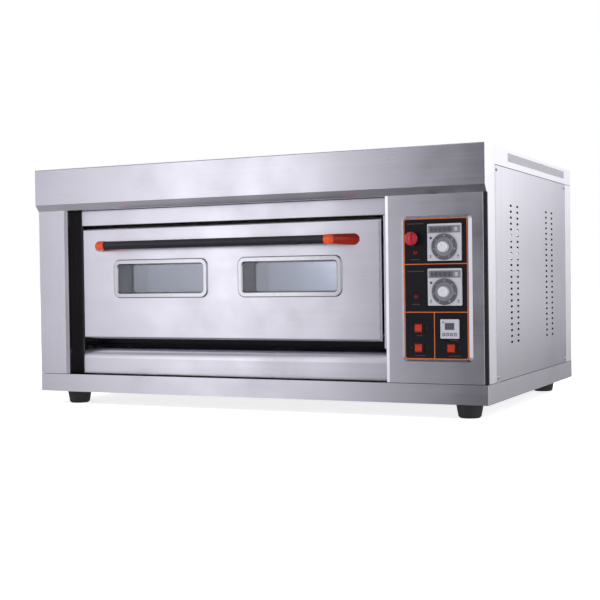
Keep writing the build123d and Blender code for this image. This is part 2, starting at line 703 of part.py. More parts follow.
LAMP_BACK = PARTITION_X + 20
with BuildPart() as lamp_holder:
    for start, length, radius, mode in (
        (MOUTH_RIGHT - 1, LAMP_BACK - MOUTH_RIGHT + 1, LAMP_RADIUS, Mode.ADD),
        (MOUTH_RIGHT - 2, LAMP_BACK - MOUTH_RIGHT - 2, LAMP_RADIUS - 2, Mode.SUBTRACT),
    ):
        with BuildSketch(section(start)):
            with Locations(LAMP_PLACE):
                Circle(radius)
        extrude(amount=length, mode=mode)
finish(lamp_holder.part, "lamp_holder")

LENS_RADIUS = LAMP_RADIUS - 2
LENS_RISE = 8.0
DOME_RADIUS = (LENS_RADIUS**2 + LENS_RISE**2) / (2 * LENS_RISE)
with BuildPart() as lamp_lens:
    lens_plane = Plane(
        origin=(MOUTH_RIGHT, FRONT + LAMP_PLACE[0], LAMP_PLACE[1]), x_dir=(1, 0, 0), z_dir=(0, -1, 0)
    )
    with BuildSketch(lens_plane):
        with BuildLine():
            Line((-LENS_RISE, 0), (6, 0))
            Line((6, 0), (6, LENS_RADIUS))
            Line((6, LENS_RADIUS), (0, LENS_RADIUS))
            RadiusArc((0, LENS_RADIUS), (-LENS_RISE, 0), -DOME_RADIUS)
        make_face()
    revolve(axis=Axis((MOUTH_RIGHT, FRONT + LAMP_PLACE[0], LAMP_PLACE[1]), (1, 0, 0)))
finish(lamp_lens.part, "lamp_lens")

FLUE_SPIGOT = 24.0
FLUE_STEP = 0.3
FLUE_LENGTH = BODY_DEPTH + REAR_REACH - CHAMBER_BACK - SHEET
with BuildPart() as flue_pipe:
    for radius, length in ((FLUE_RADIUS, FLUE_SPIGOT), (FLUE_RADIUS - FLUE_STEP, FLUE_LENGTH)):
        with BuildSketch(facing(BODY_DEPTH + REAR_REACH)):
            with Locations((DOOR_X, FLUE_HEIGHT)):
                Circle(radius)
        extrude(amount=length)
    with BuildSketch(facing(BODY_DEPTH + REAR_REACH)):
        with Locations((DOOR_X, FLUE_HEIGHT)):
            Circle(FLUE_RADIUS - SHEET)
    extrude(amount=FLUE_LENGTH, mode=Mode.SUBTRACT)
finish(flue_pipe.part, "flue_pipe")

# ---- Electrical bay ----
PLATE_X = PARTITION_X + SHEET
PLATE_BACK = PLATE_X + 20.0
PLATE_FACE = PLATE_BACK + 2.0
PLATE_DEPTHS = (250.0, 640.0)
PLATE_HEIGHTS = (290.0, 440.0)
SPACER_DEPTHS = (262.0, 628.0)
SPACER_HEIGHTS = (302.0, 428.0)
SPACER_RADIUS = 5.0
SPACER_LENGTH = PLATE_BACK - PLATE_X
CONTACTOR_SIZE = (70.0, 56.0, 84.0)
CONTACTOR_DEPTHS = (320.0, 400.0)
CONTACTOR_FOOT = 330.0
CONTACTOR_STEP = (22.0, 16.0)
CUT_PAST = 1.0
TERMINALS = 6
TERMINAL_FACE = PLATE_FACE + 30.0
TERMINAL_DEPTHS = (480.0, 600.0)
TERMINAL_HEIGHTS = (350.0, 380.0)
TERMINAL_PITCH = 18.0
TERMINAL_RADIUS = 4.0
TERMINAL_HOLE = 12.0
with BuildPart() as switchgear:
    block((PLATE_BACK, PLATE_FACE), PLATE_DEPTHS, PLATE_HEIGHTS)
    for depth in SPACER_DEPTHS:
        for z in SPACER_HEIGHTS:
            with Locations((PLATE_X + SPACER_LENGTH / 2, FRONT + depth, z)):
                Cylinder(SPACER_RADIUS, SPACER_LENGTH, rotation=(0, 90, 0))
    for depth in CONTACTOR_DEPTHS:
        contactor_x = (PLATE_FACE, PLATE_FACE + CONTACTOR_SIZE[0])
        contactor_z = (CONTACTOR_FOOT, CONTACTOR_FOOT + CONTACTOR_SIZE[2])
        half = CONTACTOR_SIZE[1] / 2
        block(contactor_x, (depth - half, depth + half), contactor_z)
        step_x = (contactor_x[1] - CONTACTOR_STEP[0], contactor_x[1] + CUT_PAST)
        for step_z in (
            (contactor_z[0] - CUT_PAST, contactor_z[0] + CONTACTOR_STEP[1]),
            (contactor_z[1] - CONTACTOR_STEP[1], contactor_z[1] + CUT_PAST),
        ):
            step_y = (depth - half - CUT_PAST, depth + half + CUT_PAST)
            block(step_x, step_y, step_z, mode=Mode.SUBTRACT)
    block((PLATE_FACE, TERMINAL_FACE), TERMINAL_DEPTHS, TERMINAL_HEIGHTS)
    with BuildSketch(section(TERMINAL_FACE)):
        with Locations((sum(TERMINAL_DEPTHS) / 2, sum(TERMINAL_HEIGHTS) / 2)):
            with GridLocations(TERMINAL_PITCH, 1, TERMINALS, 1):
                Circle(TERMINAL_RADIUS)
    extrude(amount=-TERMINAL_HOLE, mode=Mode.SUBTRACT)
finish(switchgear.part, "switchgear")

GLAND_RADIUS = GLAND_BORE + 3.0
GLAND_HEX = 5.0
GLAND_REACH = 60.0
GLAND_ROUND = 1.2
GLAND_STEPS = ((-8, 8, GLAND_RADIUS), (6, 16, GLAND_RADIUS + 1))
with BuildPart() as cable_gland:
    gland_plane = facing(BODY_DEPTH)
    with BuildSketch(gland_plane):
        with Locations((GLAND_X, GLAND_Z)):
            RegularPolygon(GLAND_RADIUS + GLAND_HEX, 6)
    extrude(amount=-6)
    with BuildSketch(facing(BODY_DEPTH - SHEET)):
        with Locations((GLAND_X, GLAND_Z)):
            RegularPolygon(GLAND_RADIUS + GLAND_HEX, 6)
    extrude(amount=5)
    for start, length, radius in GLAND_STEPS:
        with BuildSketch(facing(BODY_DEPTH + start)):
            with Locations((GLAND_X, GLAND_Z)):
                Circle(radius)
        extrude(amount=-length)
    drill_back(GLAND_X, BODY_DEPTH, GLAND_Z, GLAND_BORE, GLAND_REACH)
    fillet(cable_gland.edges().filter_by(GeomType.CIRCLE).sort_by(Axis.Y)[-1], GLAND_ROUND)
finish(cable_gland.part, "cable_gland")

# ---- Door ----
SKIN_DEPTH = 40.0
SLEEVE_HOLE = (SLEEVE_SIZE[0] + 1, SLEEVE_SIZE[1] + 1)
DOOR_X_SPAN = (DOOR_LEFT, DOOR_RIGHT)
DOOR_Z_SPAN = (DOOR_BOTTOM, DOOR_TOP)
SKIN_X = (DOOR_LEFT + SHEET, DOOR_RIGHT - SHEET)
SKIN_Z = (DOOR_BOTTOM + SHEET, DOOR_TOP - SHEET)


def window_cut(depth, size, thickness):
    """Cuts the two window openings back from a depth."""
    with BuildSketch(facing(depth)) as openings:
        for x in WINDOW_XS:
            with Locations((x, WINDOW_HEIGHT)):
                RectangleRounded(size[0], size[1], 8)
    extrude(openings.sketch, amount=-thickness, mode=Mode.SUBTRACT)


DOOR_EDGE_RADIUS = 6.0
with BuildPart() as skin_hollow:
    block(SKIN_X, (DOOR_FRONT + SHEET, DOOR_BACK), SKIN_Z)
    fillet(skin_hollow.faces().sort_by(Axis.Y)[0].edges(), DOOR_EDGE_RADIUS - SHEET)
with BuildPart() as door_outer_skin:
    block(DOOR_X_SPAN, (DOOR_FRONT, DOOR_FRONT + SKIN_DEPTH), DOOR_Z_SPAN)
    fillet(door_outer_skin.faces().sort_by(Axis.Y)[0].edges(), DOOR_EDGE_RADIUS)
    add(skin_hollow.part, mode=Mode.SUBTRACT)
    window_cut(DOOR_FRONT - 1, SLEEVE_HOLE, 4)
    for x in DOOR_X_SPAN:
        drill_sideways(x, HINGE_DEPTH, HINGE_HEIGHT, HINGE_PIN_RADIUS, 10)
finish(door_outer_skin.part, "door_outer_skin")

with BuildPart() as door_inner_pan:
    block(DOOR_X_SPAN, (DOOR_FRONT + SKIN_DEPTH, DOOR_BACK), DOOR_Z_SPAN)
    fillet(door_inner_pan.faces().sort_by(Axis.Y)[-1].edges(), 4.0)
    block(SKIN_X, (DOOR_FRONT, DOOR_BACK - SHEET), SKIN_Z, mode=Mode.SUBTRACT)
    window_cut(DOOR_BACK - 4, GLASS_SIZE, 6)
finish(door_inner_pan.part, "door_inner_pan")

HINGE_BLOCK = 26.0
with BuildPart() as door_insulation:
    fill_x = (SKIN_X[0] + HINGE_BLOCK, SKIN_X[1] - HINGE_BLOCK)
    fill_z = (SKIN_Z[0] + DOOR_EDGE_RADIUS, SKIN_Z[1] - DOOR_EDGE_RADIUS)
    block(fill_x, (DOOR_FRONT + SHEET, DOOR_BACK - SHEET), fill_z)
    window_cut(DOOR_FRONT - 1, SLEEVE_HOLE, DOOR_THICKNESS + 2)
finish(door_insulation.part, "door_insulation")

BEZEL_PROUD = 4.0
SLEEVE_WALL = 1.5
PANE_GAUGE = 4.0
SLEEVE_DEPTHS = (DOOR_FRONT, DOOR_BACK - SHEET)
with BuildPart() as window_frames:
    for x in WINDOW_XS:
        outer_box = (x - BEZEL_SIZE[0] / 2, x + BEZEL_SIZE[0] / 2)
        inner_box = (x - GLASS_SIZE[0] / 2, x + GLASS_SIZE[0] / 2)
        outer_z = (WINDOW_HEIGHT - BEZEL_SIZE[1] / 2, WINDOW_HEIGHT + BEZEL_SIZE[1] / 2)
        inner_z = (WINDOW_HEIGHT - GLASS_SIZE[1] / 2, WINDOW_HEIGHT + GLASS_SIZE[1] / 2)
        bezel_depths = (DOOR_FRONT - BEZEL_PROUD, DOOR_FRONT)
        ring(bezel_depths, outer_box + outer_z, inner_box + inner_z, (20, 8))
    front_faces = window_frames.faces().filter_by(Axis.Y).group_by(Axis.Y)[0]
    chamfer(front_faces.edges(), 3.0)
    for x in WINDOW_XS:
        sleeve_box = [
            (x - SLEEVE_SIZE[0] / 2 + wall, x + SLEEVE_SIZE[0] / 2 - wall)
            + (WINDOW_HEIGHT - SLEEVE_SIZE[1] / 2 + wall, WINDOW_HEIGHT + SLEEVE_SIZE[1] / 2 - wall)
            for wall in (0.0, SLEEVE_WALL)
        ]
        ring(SLEEVE_DEPTHS, sleeve_box[0], sleeve_box[1], (8, 8 - SLEEVE_WALL))
finish(window_frames.part, "window_frames")

PANE_CORNER = 6.4
PANE_SIZE = (SLEEVE_SIZE[0] - 2 * SLEEVE_WALL, SLEEVE_SIZE[1] - 2 * SLEEVE_WALL)
with BuildPart() as window_panes:
    for depth in (DOOR_FRONT, DOOR_BACK - SHEET - PANE_GAUGE):
        with BuildSketch(facing(depth)):
            for x in WINDOW_XS:
                with Locations((x, WINDOW_HEIGHT)):
                    RectangleRounded(PANE_SIZE[0] - FIT_GAP, PANE_SIZE[1] - FIT_GAP, PANE_CORNER)
        extrude(amount=-PANE_GAUGE)
finish(window_panes.part, "window_panes")

with BuildPart() as handle_rod:
    with BuildSketch(section(HANDLE_X - HANDLE_SPAN / 2)):
        with Locations((HANDLE_DEPTH, HANDLE_HEIGHT)):
            Circle(HANDLE_RADIUS)
    extrude(amount=HANDLE_SPAN)
finish(handle_rod.part, "handle_rod")

BRACKET_FOOT_RADIUS = 15.0
BRACKET_TIP_RADIUS = 12.4
ROD_GRIP = 17.0
with BuildPart() as handle_brackets:
    for side in (-1, 1):
        foot = Vector(HANDLE_X + side * BRACKET_FOOT_SPAN / 2, FRONT + DOOR_FRONT, HANDLE_HEIGHT)
        elbow = Vector(HANDLE_X + side * HANDLE_SPAN / 2, FRONT + HANDLE_DEPTH, HANDLE_HEIGHT)
        reach = elbow - foot
        start = foot - reach * 0.35
        with BuildSketch(Plane(origin=start, z_dir=reach)):
            Circle(BRACKET_FOOT_RADIUS + 0.6)
        with BuildSketch(Plane(origin=elbow, z_dir=reach)):
            Circle(BRACKET_TIP_RADIUS)
        loft()
        with Locations(elbow):
            Sphere(BRACKET_TIP_RADIUS)
        with BuildSketch(Plane(origin=elbow, z_dir=(-side, 0, 0))):
            Circle(BRACKET_TIP_RADIUS)
        extrude(amount=ROD_GRIP, taper=1.5)
    block((DOOR_LEFT, DOOR_RIGHT), (DOOR_FRONT, DOOR_BACK), (400, 480), mode=Mode.SUBTRACT)
    with Locations((HANDLE_X, FRONT + HANDLE_DEPTH, HANDLE_HEIGHT)):
        Cylinder(HANDLE_RADIUS, HANDLE_SPAN, rotation=(0, 90, 0), mode=Mode.SUBTRACT)
finish(handle_brackets.part, "handle_brackets")

# ---- Hinges at the door's bottom corners ----
PIN_OUT = 26.0
PLATE_GAP = 4.0
PLATE_GAUGE = 3.0
PLATE_SETBACK = 2.0
HINGE_INSET = 7.0
HINGE_PLATE_Z = (SILL_TOP + 6, 262.0)
HINGE_FOOT = 30.0
HINGE_SCREWS = (220.0, 248.0)
HINGE_SCREW_OFFSET = 20.0
HINGE_SCREW_HOLE = 3.3
DRILL = 10.0
BUSH_RADIUS = 7.5
BUSH_FLANGE = 10.0
BUSH_FLANGE_GAUGE = 2.0
with BuildPart() as hinge_pins:
    for side, edge in ((-1, DOOR_LEFT), (1, DOOR_RIGHT)):
        inner_x = edge - side * (SHEET + HINGE_BLOCK - 2)
        outer_x = edge + side * PIN_OUT
        with BuildSketch(section(min(inner_x, outer_x))):
            with Locations((HINGE_DEPTH, HINGE_HEIGHT)):
                Circle(HINGE_PIN_RADIUS)
        extrude(amount=abs(outer_x - inner_x))
        pad_x = sorted((edge - side * SHEET, inner_x))
        pad_start = DOOR_FRONT + DOOR_EDGE_RADIUS
        block(pad_x, (pad_start, HINGE_DEPTH + 14), (DOOR_BOTTOM + DOOR_EDGE_RADIUS, HINGE_HEIGHT + 14))
finish(hinge_pins.part, "hinge_pins")

with BuildPart() as hinge_plates:
    for side, edge in ((-1, DOOR_LEFT), (1, DOOR_RIGHT)):
        plate_x = sorted((edge + side * PLATE_GAP, edge + side * (PLATE_GAP + PLATE_GAUGE)))
        plate_back = CHAMBER_FRONT - PLATE_SETBACK
        block(plate_x, (RECESS + HINGE_INSET, plate_back), HINGE_PLATE_Z)
        foot_x = sorted((edge + side * PLATE_GAP, edge + side * (PLATE_GAP + HINGE_FOOT)))
        block(foot_x, (plate_back - PLATE_GAUGE, plate_back), HINGE_PLATE_Z)
        drill_sideways(edge + side * PLATE_GAP, HINGE_DEPTH, HINGE_HEIGHT, BUSH_RADIUS, DRILL)
        for z in HINGE_SCREWS:
            screw_x = edge + side * (PLATE_GAP + HINGE_SCREW_OFFSET)
            drill_back(screw_x, plate_back - PLATE_GAUGE / 2, z, HINGE_SCREW_HOLE, DRILL)
finish(hinge_plates.part, "hinge_plates")

with BuildPart() as hinge_bushes:
    for side, edge in ((-1, DOOR_LEFT), (1, DOOR_RIGHT)):
        body_x = sorted((edge + side * PLATE_GAP, edge + side * (PLATE_GAP + PLATE_GAUGE)))
        body_end = edge + side * (PLATE_GAP + PLATE_GAUGE)
        flange_x = sorted((body_end, body_end + side * BUSH_FLANGE_GAUGE))
        for (x0, x1), radius in ((body_x, BUSH_RADIUS), (flange_x, BUSH_FLANGE)):
            with BuildSketch(section(x0)):
                with Locations((HINGE_DEPTH, HINGE_HEIGHT)):
                    Circle(radius)
                    Circle(HINGE_PIN_RADIUS + HINGE_CLEARANCE, mode=Mode.SUBTRACT)
            extrude(amount=x1 - x0)
finish(hinge_bushes.part, "hinge_bushes")

SPRING_RADIUS = 8.0
SPRING_WIRE = 0.9
SPRING_TURNS = 4.5
SPRING_PITCH = 2.4
with BuildPart() as door_springs:
    for side, edge in ((-1, DOOR_LEFT), (1, DOOR_RIGHT)):
        coil_start = (edge + side * (PLATE_GAP + PLATE_GAUGE + 4), FRONT + HINGE_DEPTH, HINGE_HEIGHT)
        with BuildLine():
            coil = Helix(
                pitch=SPRING_PITCH,
                height=SPRING_PITCH * SPRING_TURNS,
                radius=SPRING_RADIUS,
                center=coil_start,
                direction=(side, 0, 0),
            )
        with BuildSketch(Plane(origin=coil @ 0, z_dir=coil % 0)):
            Circle(SPRING_WIRE)
        sweep()
finish(door_springs.part, "door_springs")

# ---- Control panel ----
with BuildPart() as control_overlay:
    with BuildSketch(facing(-PLINTH_RISE)):
        with Locations((PLINTH_X, PLINTH_Z)):
            RectangleRounded(PLINTH_FLAT[0] - 2, PLINTH_FLAT[1] - 2, 7)
    extrude(amount=OVERLAY_THICKNESS)
    control_cutouts(PANEL_FACE, OVERLAY_THICKNESS)
finish(control_overlay.part, "control_overlay")

CASE_PROUD = 5.0
CASE_CORNER = 2.5
CASE_DEPTH = 66.0
METER_BAND = (CONTROLLER_FACE[0] - 4, 18.0)
METER_RISE = 30.5
METER_RECESS = 1.0
DIAL_SHAFT = 3.0
DIAL_BORE_DEPTH = 18.0
SHAFT_CLEARANCE = 0.05
CASE_FACE = PANEL_FACE - CASE_PROUD
with BuildPart() as controllers:
    for _, z in CONTROLLER_HEIGHTS:
        with BuildSketch(facing(PANEL_FACE)):
            with Locations((CONTROLLER_X, z)):
                RectangleRounded(*CONTROLLER_FACE, CASE_CORNER)
        extrude(amount=CASE_PROUD)
    fillet(controllers.faces().group_by(Axis.Y)[0].edges(), 1.0)
    for _, z in CONTROLLER_HEIGHTS:
        with BuildSketch(facing(PANEL_FACE)):
            with Locations((CONTROLLER_X, z)):
                Rectangle(*CONTROLLER_BODY)
        extrude(amount=-CASE_DEPTH)
        with BuildSketch(facing(CASE_FACE + METER_RECESS)):
            with Locations((CONTROLLER_X, z + METER_RISE)):
                Rectangle(*METER_BAND)
        extrude(amount=METER_RECESS + 1, mode=Mode.SUBTRACT)
        dial_bore = DIAL_SHAFT + SHAFT_CLEARANCE
        drill_back(CONTROLLER_X, CASE_FACE, z - DIAL_DROP, dial_bore, 2 * DIAL_BORE_DEPTH)
finish(controllers.part, "controllers")

DIAL_RADIUS = 31.5
DIAL_GAP = 0.4
DIAL_SKIRT = 2.5
CONE_RADIUS = 21.5
KNOB_RADIUS = 13.0
KNOB_RISE = 13.0
for level, z in CONTROLLER_HEIGHTS:
    with BuildPart() as dial:
        dial_back = CASE_FACE - DIAL_GAP
        skirt_face = dial_back - DIAL_SKIRT
        cone_face = skirt_face - 1.5
        knob_face = cone_face - KNOB_RISE
        with BuildSketch(turning(CONTROLLER_X, z - DIAL_DROP)):
            with BuildLine():
                Polyline(
                    (0, CASE_FACE + DIAL_BORE_DEPTH - 3),
                    (DIAL_SHAFT, CASE_FACE + DIAL_BORE_DEPTH - 3),
                    (DIAL_SHAFT, dial_back),
                    (DIAL_RADIUS, dial_back),
                    (DIAL_RADIUS, skirt_face + 0.6),
                    (DIAL_RADIUS - 0.6, skirt_face),
                    (CONE_RADIUS + 1.5, skirt_face),
                    (CONE_RADIUS, cone_face),
                    (KNOB_RADIUS + 1.0, cone_face),
                    (KNOB_RADIUS - 0.6, knob_face + 1.5),
                    (KNOB_RADIUS - 2.2, knob_face),
                    (0, knob_face),
                    close=True,
                )
            make_face()
        turn(CONTROLLER_X, z - DIAL_DROP)
        with Locations((CONTROLLER_X, FRONT + knob_face, z - DIAL_DROP + KNOB_RADIUS / 2)):
            Box(1.4, 1.6, KNOB_RADIUS + 2, mode=Mode.SUBTRACT)
    finish(dial.part, f"dial_{level}")

TIMER_PROUD = 6.0
TIMER_BODY = TIMER_FACE - 4
TIMER_BEZEL_FACE = PANEL_FACE - TIMER_PROUD
DISPLAY_SIZE = (24.0, 17.0)
DISPLAY_RISE = 6.0
KEY_SIZE = (6.4, 6.0)
KEY_PITCH = 9.6
KEY_DROP = 13.5
KEY_GAP = 0.3
KEY_PROUD = 1.2
KEY_STEM = 3.0
with BuildPart() as timer_case:
    with BuildSketch(facing(PANEL_FACE)):
        with Locations((TIMER_X, TIMER_Z)):
            RectangleRounded(TIMER_FACE, TIMER_FACE, 2.0)
    extrude(amount=TIMER_PROUD)
    fillet(timer_case.faces().sort_by(Axis.Y)[0].edges(), 1.2)
    with BuildSketch(facing(PANEL_FACE)):
        with Locations((TIMER_X, TIMER_Z)):
            Rectangle(TIMER_BODY, TIMER_BODY)
    extrude(amount=-CASE_DEPTH)
    with BuildSketch(facing(TIMER_BEZEL_FACE + METER_RECESS)):
        with Locations((TIMER_X, TIMER_Z + DISPLAY_RISE)):
            Rectangle(*DISPLAY_SIZE)
    extrude(amount=METER_RECESS + 1, mode=Mode.SUBTRACT)
    with BuildSketch(facing(TIMER_BEZEL_FACE + KEY_STEM + 1.5)):
        with Locations((TIMER_X, TIMER_Z - KEY_DROP)):
            with GridLocations(KEY_PITCH, 1, 4, 1):
                Rectangle(KEY_SIZE[0] + 2 * KEY_GAP, KEY_SIZE[1] + 2 * KEY_GAP)
    extrude(amount=KEY_STEM + 3, mode=Mode.SUBTRACT)
finish(timer_case.part, "timer_case")

with BuildPart() as instrument_windows:
    for _, z in CONTROLLER_HEIGHTS:
        with BuildSketch(facing(CASE_FACE + METER_RECESS)):
            with Locations((CONTROLLER_X, z + METER_RISE)):
                Rectangle(METER_BAND[0] - FIT_GAP, METER_BAND[1] - FIT_GAP)
        extrude(amount=METER_RECESS)
    with BuildSketch(facing(TIMER_BEZEL_FACE + METER_RECESS)):
        with Locations((TIMER_X, TIMER_Z + DISPLAY_RISE)):
            Rectangle(DISPLAY_SIZE[0] - FIT_GAP, DISPLAY_SIZE[1] - FIT_GAP)
    extrude(amount=METER_RECESS)
finish(instrument_windows.part, "instrument_windows")

for number in range(4):
    with BuildPart() as timer_key:
        key_x = TIMER_X + (number - 1.5) * KEY_PITCH
        with BuildSketch(facing(TIMER_BEZEL_FACE + KEY_STEM)):
            with Locations((key_x, TIMER_Z - KEY_DROP)):
                RectangleRounded(KEY_SIZE[0], KEY_SIZE[1], 1.0)
        extrude(amount=KEY_STEM + KEY_PROUD)
        fillet(timer_key.faces().sort_by(Axis.Y)[0].edges(), 0.4)
    finish(timer_key.part, f"timer_key_{number + 1}")

LAMP_FLANGE = 6.0
LAMP_DOME_EDGE = LAMP_FLANGE - 0.8
LAMP_DOME_RISE = 3.2
LAMP_DOME_RADIUS = (LAMP_DOME_EDGE**2 + LAMP_DOME_RISE**2) / (2 * LAMP_DOME_RISE)
with BuildPart() as indicator_lamps:
    for x, z in LAMPS:
        with BuildSketch(turning(x, z)):
            with BuildLine():
                Polyline(
                    (0, PANEL_FACE + 22),
                    (LAMP_HOLE - 0.1, PANEL_FACE + 22),
                    (LAMP_HOLE - 0.1, PANEL_FACE),
                    (LAMP_FLANGE, PANEL_FACE),
                    (LAMP_FLANGE, PANEL_FACE - 1.5),
                    (LAMP_DOME_EDGE, PANEL_FACE - 2.2),
                )
                dome_top = (0, PANEL_FACE - 2.2 - LAMP_DOME_RISE)
                RadiusArc((LAMP_DOME_EDGE, PANEL_FACE - 2.2), dome_top, LAMP_DOME_RADIUS)
                Line(dome_top, (0, PANEL_FACE + 22))
            make_face()
        turn(x, z)
finish(indicator_lamps.part, "indicator_lamps")

ROCKER_BEZEL = (24.0, 27.0)
ROCKER_WINDOW = (18.4, 21.0)
BEZEL_RISE = 2.6
ROCKER_WIDTH = 17.4
ROCKER_RADIUS = 10.0
ROCKER_PIVOT = PANEL_FACE
ROCKER_FACE_OFFSET = 5.5
ROCKER_TILT = 8.0
FACET_RISE = ROCKER_FACE_OFFSET * sin(radians(ROCKER_TILT))
FACET_LENGTH = sqrt(FACET_RISE**2 + ROCKER_RADIUS**2 - ROCKER_FACE_OFFSET**2) - FACET_RISE
PIVOT_RADIUS = 1.5
PIVOT_REACH = 0.9
ROCKER_CASE_DEPTH = 24.0
with BuildPart() as switch_bezels:
    for x, z in ROCKERS.values():
        with BuildSketch(facing(PANEL_FACE)):
            with Locations((x, z)):
                RectangleRounded(ROCKER_BEZEL[0], ROCKER_BEZEL[1], 2.0)
        extrude(amount=BEZEL_RISE)
        with BuildSketch(facing(PANEL_FACE)):
            with Locations((x, z)):
                Rectangle(*ROCKER_BODY)
        extrude(amount=-ROCKER_CASE_DEPTH)
    chamfer(switch_bezels.faces().filter_by(Axis.Y).group_by(Axis.Y)[0].edges(), 0.8)
    for x, z in ROCKERS.values():
        well_width = ROCKER_WINDOW[0] - 0.4
        with BuildSketch(facing(PANEL_FACE - BEZEL_RISE)):
            with Locations((x, z)):
                Rectangle(well_width, ROCKER_WINDOW[1])
        extrude(amount=-(BEZEL_RISE + ROCKER_RADIUS + 5), mode=Mode.SUBTRACT)
        drill_sideways(x, ROCKER_PIVOT, z, PIVOT_RADIUS + SHAFT_CLEARANCE, ROCKER_BODY[0])
finish(switch_bezels.part, "switch_bezels")

for name, (x, z) in ROCKERS.items():
    with BuildPart() as rocker:
        rest_dir = (0, cos(radians(ROCKER_TILT)), -sin(radians(ROCKER_TILT)))
        side_centre = (x - ROCKER_WIDTH / 2, FRONT + ROCKER_PIVOT, z)
        facet_x = -ROCKER_FACE_OFFSET - FACET_LENGTH * sin(radians(ROCKER_TILT))
        facet_y = FACET_LENGTH * cos(radians(ROCKER_TILT))
        with BuildSketch(Plane(origin=side_centre, x_dir=rest_dir, z_dir=(1, 0, 0))):
            with BuildLine():
                Polyline((facet_x, -facet_y), (-ROCKER_FACE_OFFSET, 0), (facet_x, facet_y))
                ThreePointArc((facet_x, facet_y), (ROCKER_RADIUS, 0), (facet_x, -facet_y))
            make_face()
        extrude(amount=ROCKER_WIDTH)
        with BuildSketch(section(x - ROCKER_WIDTH / 2 - PIVOT_REACH)):
            with Locations((ROCKER_PIVOT, z)):
                Circle(PIVOT_RADIUS)
        extrude(amount=ROCKER_WIDTH + 2 * PIVOT_REACH)
    finish(rocker.part, name)

COLLAR_RADIUS = 14.0
COLLAR_RISE = 4.0
STEM_RADIUS = 7.0
STOP_RADIUS = 16.3
STOP_BODY = 42.0
STEM_BACK = PANEL_FACE + 24.0
HEAD_BACK = -STOP_REACH + 12.0
DOME_EDGE = 12.0
DOME_RISE = 2.0
HEAD_DOME_RADIUS = (DOME_EDGE**2 + DOME_RISE**2) / (2 * DOME_RISE)
SPIGOT_RADIUS = 4.5
with BuildPart() as stop_collar:
    for start, length, radius in (
        (PANEL_FACE, COLLAR_RISE, COLLAR_RADIUS),
        (PANEL_FACE, -STOP_BODY, STOP_HOLE - 0.3),
    ):
        with BuildSketch(facing(start)):
            with Locations((STOP_X, STOP_Z)):
                Circle(radius)
        extrude(amount=length)
    drill_back(STOP_X, PANEL_FACE - 10, STOP_Z, STEM_RADIUS + SHAFT_CLEARANCE, 80)
finish(stop_collar.part, "stop_collar")

with BuildPart() as stop_stem:
    for start, end, radius in (
        (STEM_BACK, HEAD_BACK + 1, STEM_RADIUS),
        (HEAD_BACK + 1, HEAD_BACK - 6, SPIGOT_RADIUS),
    ):
        with BuildSketch(facing(start)):
            with Locations((STOP_X, STOP_Z)):
                Circle(radius)
        extrude(amount=start - end)
finish(stop_stem.part, "stop_stem")

with BuildPart() as stop_head:
    with BuildSketch(turning(STOP_X, STOP_Z)):
        with BuildLine():
            Polyline(
                (0, -STOP_REACH + 5),
                (SPIGOT_RADIUS + SHAFT_CLEARANCE, -STOP_REACH + 5),
                (SPIGOT_RADIUS + SHAFT_CLEARANCE, HEAD_BACK),
                (STEM_RADIUS + 1.5, HEAD_BACK),
                (STOP_RADIUS, HEAD_BACK - 3.5),
                (STOP_RADIUS, HEAD_BACK - 6.5),
            )
            RadiusArc((STOP_RADIUS, HEAD_BACK - 6.5), (DOME_EDGE, -STOP_REACH + DOME_RISE), 4.5)
            RadiusArc((DOME_EDGE, -STOP_REACH + DOME_RISE), (0, -STOP_REACH), HEAD_DOME_RADIUS)
            Line((0, -STOP_REACH), (0, -STOP_REACH + 5))
        make_face()
    turn(STOP_X, STOP_Z)
finish(stop_head.part, "stop_head")
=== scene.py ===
import json
import math

import bmesh
import bpy
from mathutils import Matrix, Vector


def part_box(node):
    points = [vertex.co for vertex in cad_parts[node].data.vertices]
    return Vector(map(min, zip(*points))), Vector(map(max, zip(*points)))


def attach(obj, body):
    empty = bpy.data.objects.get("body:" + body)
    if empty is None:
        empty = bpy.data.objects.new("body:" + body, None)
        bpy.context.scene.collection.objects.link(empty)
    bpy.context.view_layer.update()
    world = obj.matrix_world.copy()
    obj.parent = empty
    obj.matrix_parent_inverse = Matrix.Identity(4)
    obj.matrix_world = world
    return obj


# The looks of the deck oven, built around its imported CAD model. Metres, in the CAD's own frame:
# X to the right, Y from front to back, Z up from the floor.
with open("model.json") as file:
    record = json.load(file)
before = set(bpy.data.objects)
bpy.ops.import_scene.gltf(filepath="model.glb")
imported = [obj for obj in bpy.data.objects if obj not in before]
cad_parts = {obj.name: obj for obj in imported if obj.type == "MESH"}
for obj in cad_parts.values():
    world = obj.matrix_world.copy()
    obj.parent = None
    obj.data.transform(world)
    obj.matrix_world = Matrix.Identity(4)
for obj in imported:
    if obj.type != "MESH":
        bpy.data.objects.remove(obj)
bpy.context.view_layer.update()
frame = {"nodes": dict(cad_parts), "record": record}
NODES = frame["nodes"]
MM = 0.001
WHITE = (1.0, 1.0, 1.0, 1.0)


# ---- Node helpers ----
# Noise values cluster round 0.5, so ranged() spreads out their middle half.
NOISE_LOW, NOISE_HIGH = 0.25, 0.75


def new_material(name):
    """An empty node material: its tree, its Principled shader and its object coordinates."""
    mat = bpy.data.materials.new(name)
    mat.use_nodes = True
    tree = mat.node_tree
    shader = tree.nodes["Principled BSDF"]
    coords = tree.nodes.new("ShaderNodeTexCoord").outputs["Object"]
    return mat, tree, shader, coords


def mapped(tree, coords, scale):
    """Object coordinates scaled per axis."""
    mapping = tree.nodes.new("ShaderNodeMapping")
    mapping.inputs["Scale"].default_value = scale
    tree.links.new(coords, mapping.inputs["Vector"])
    return mapping.outputs["Vector"]


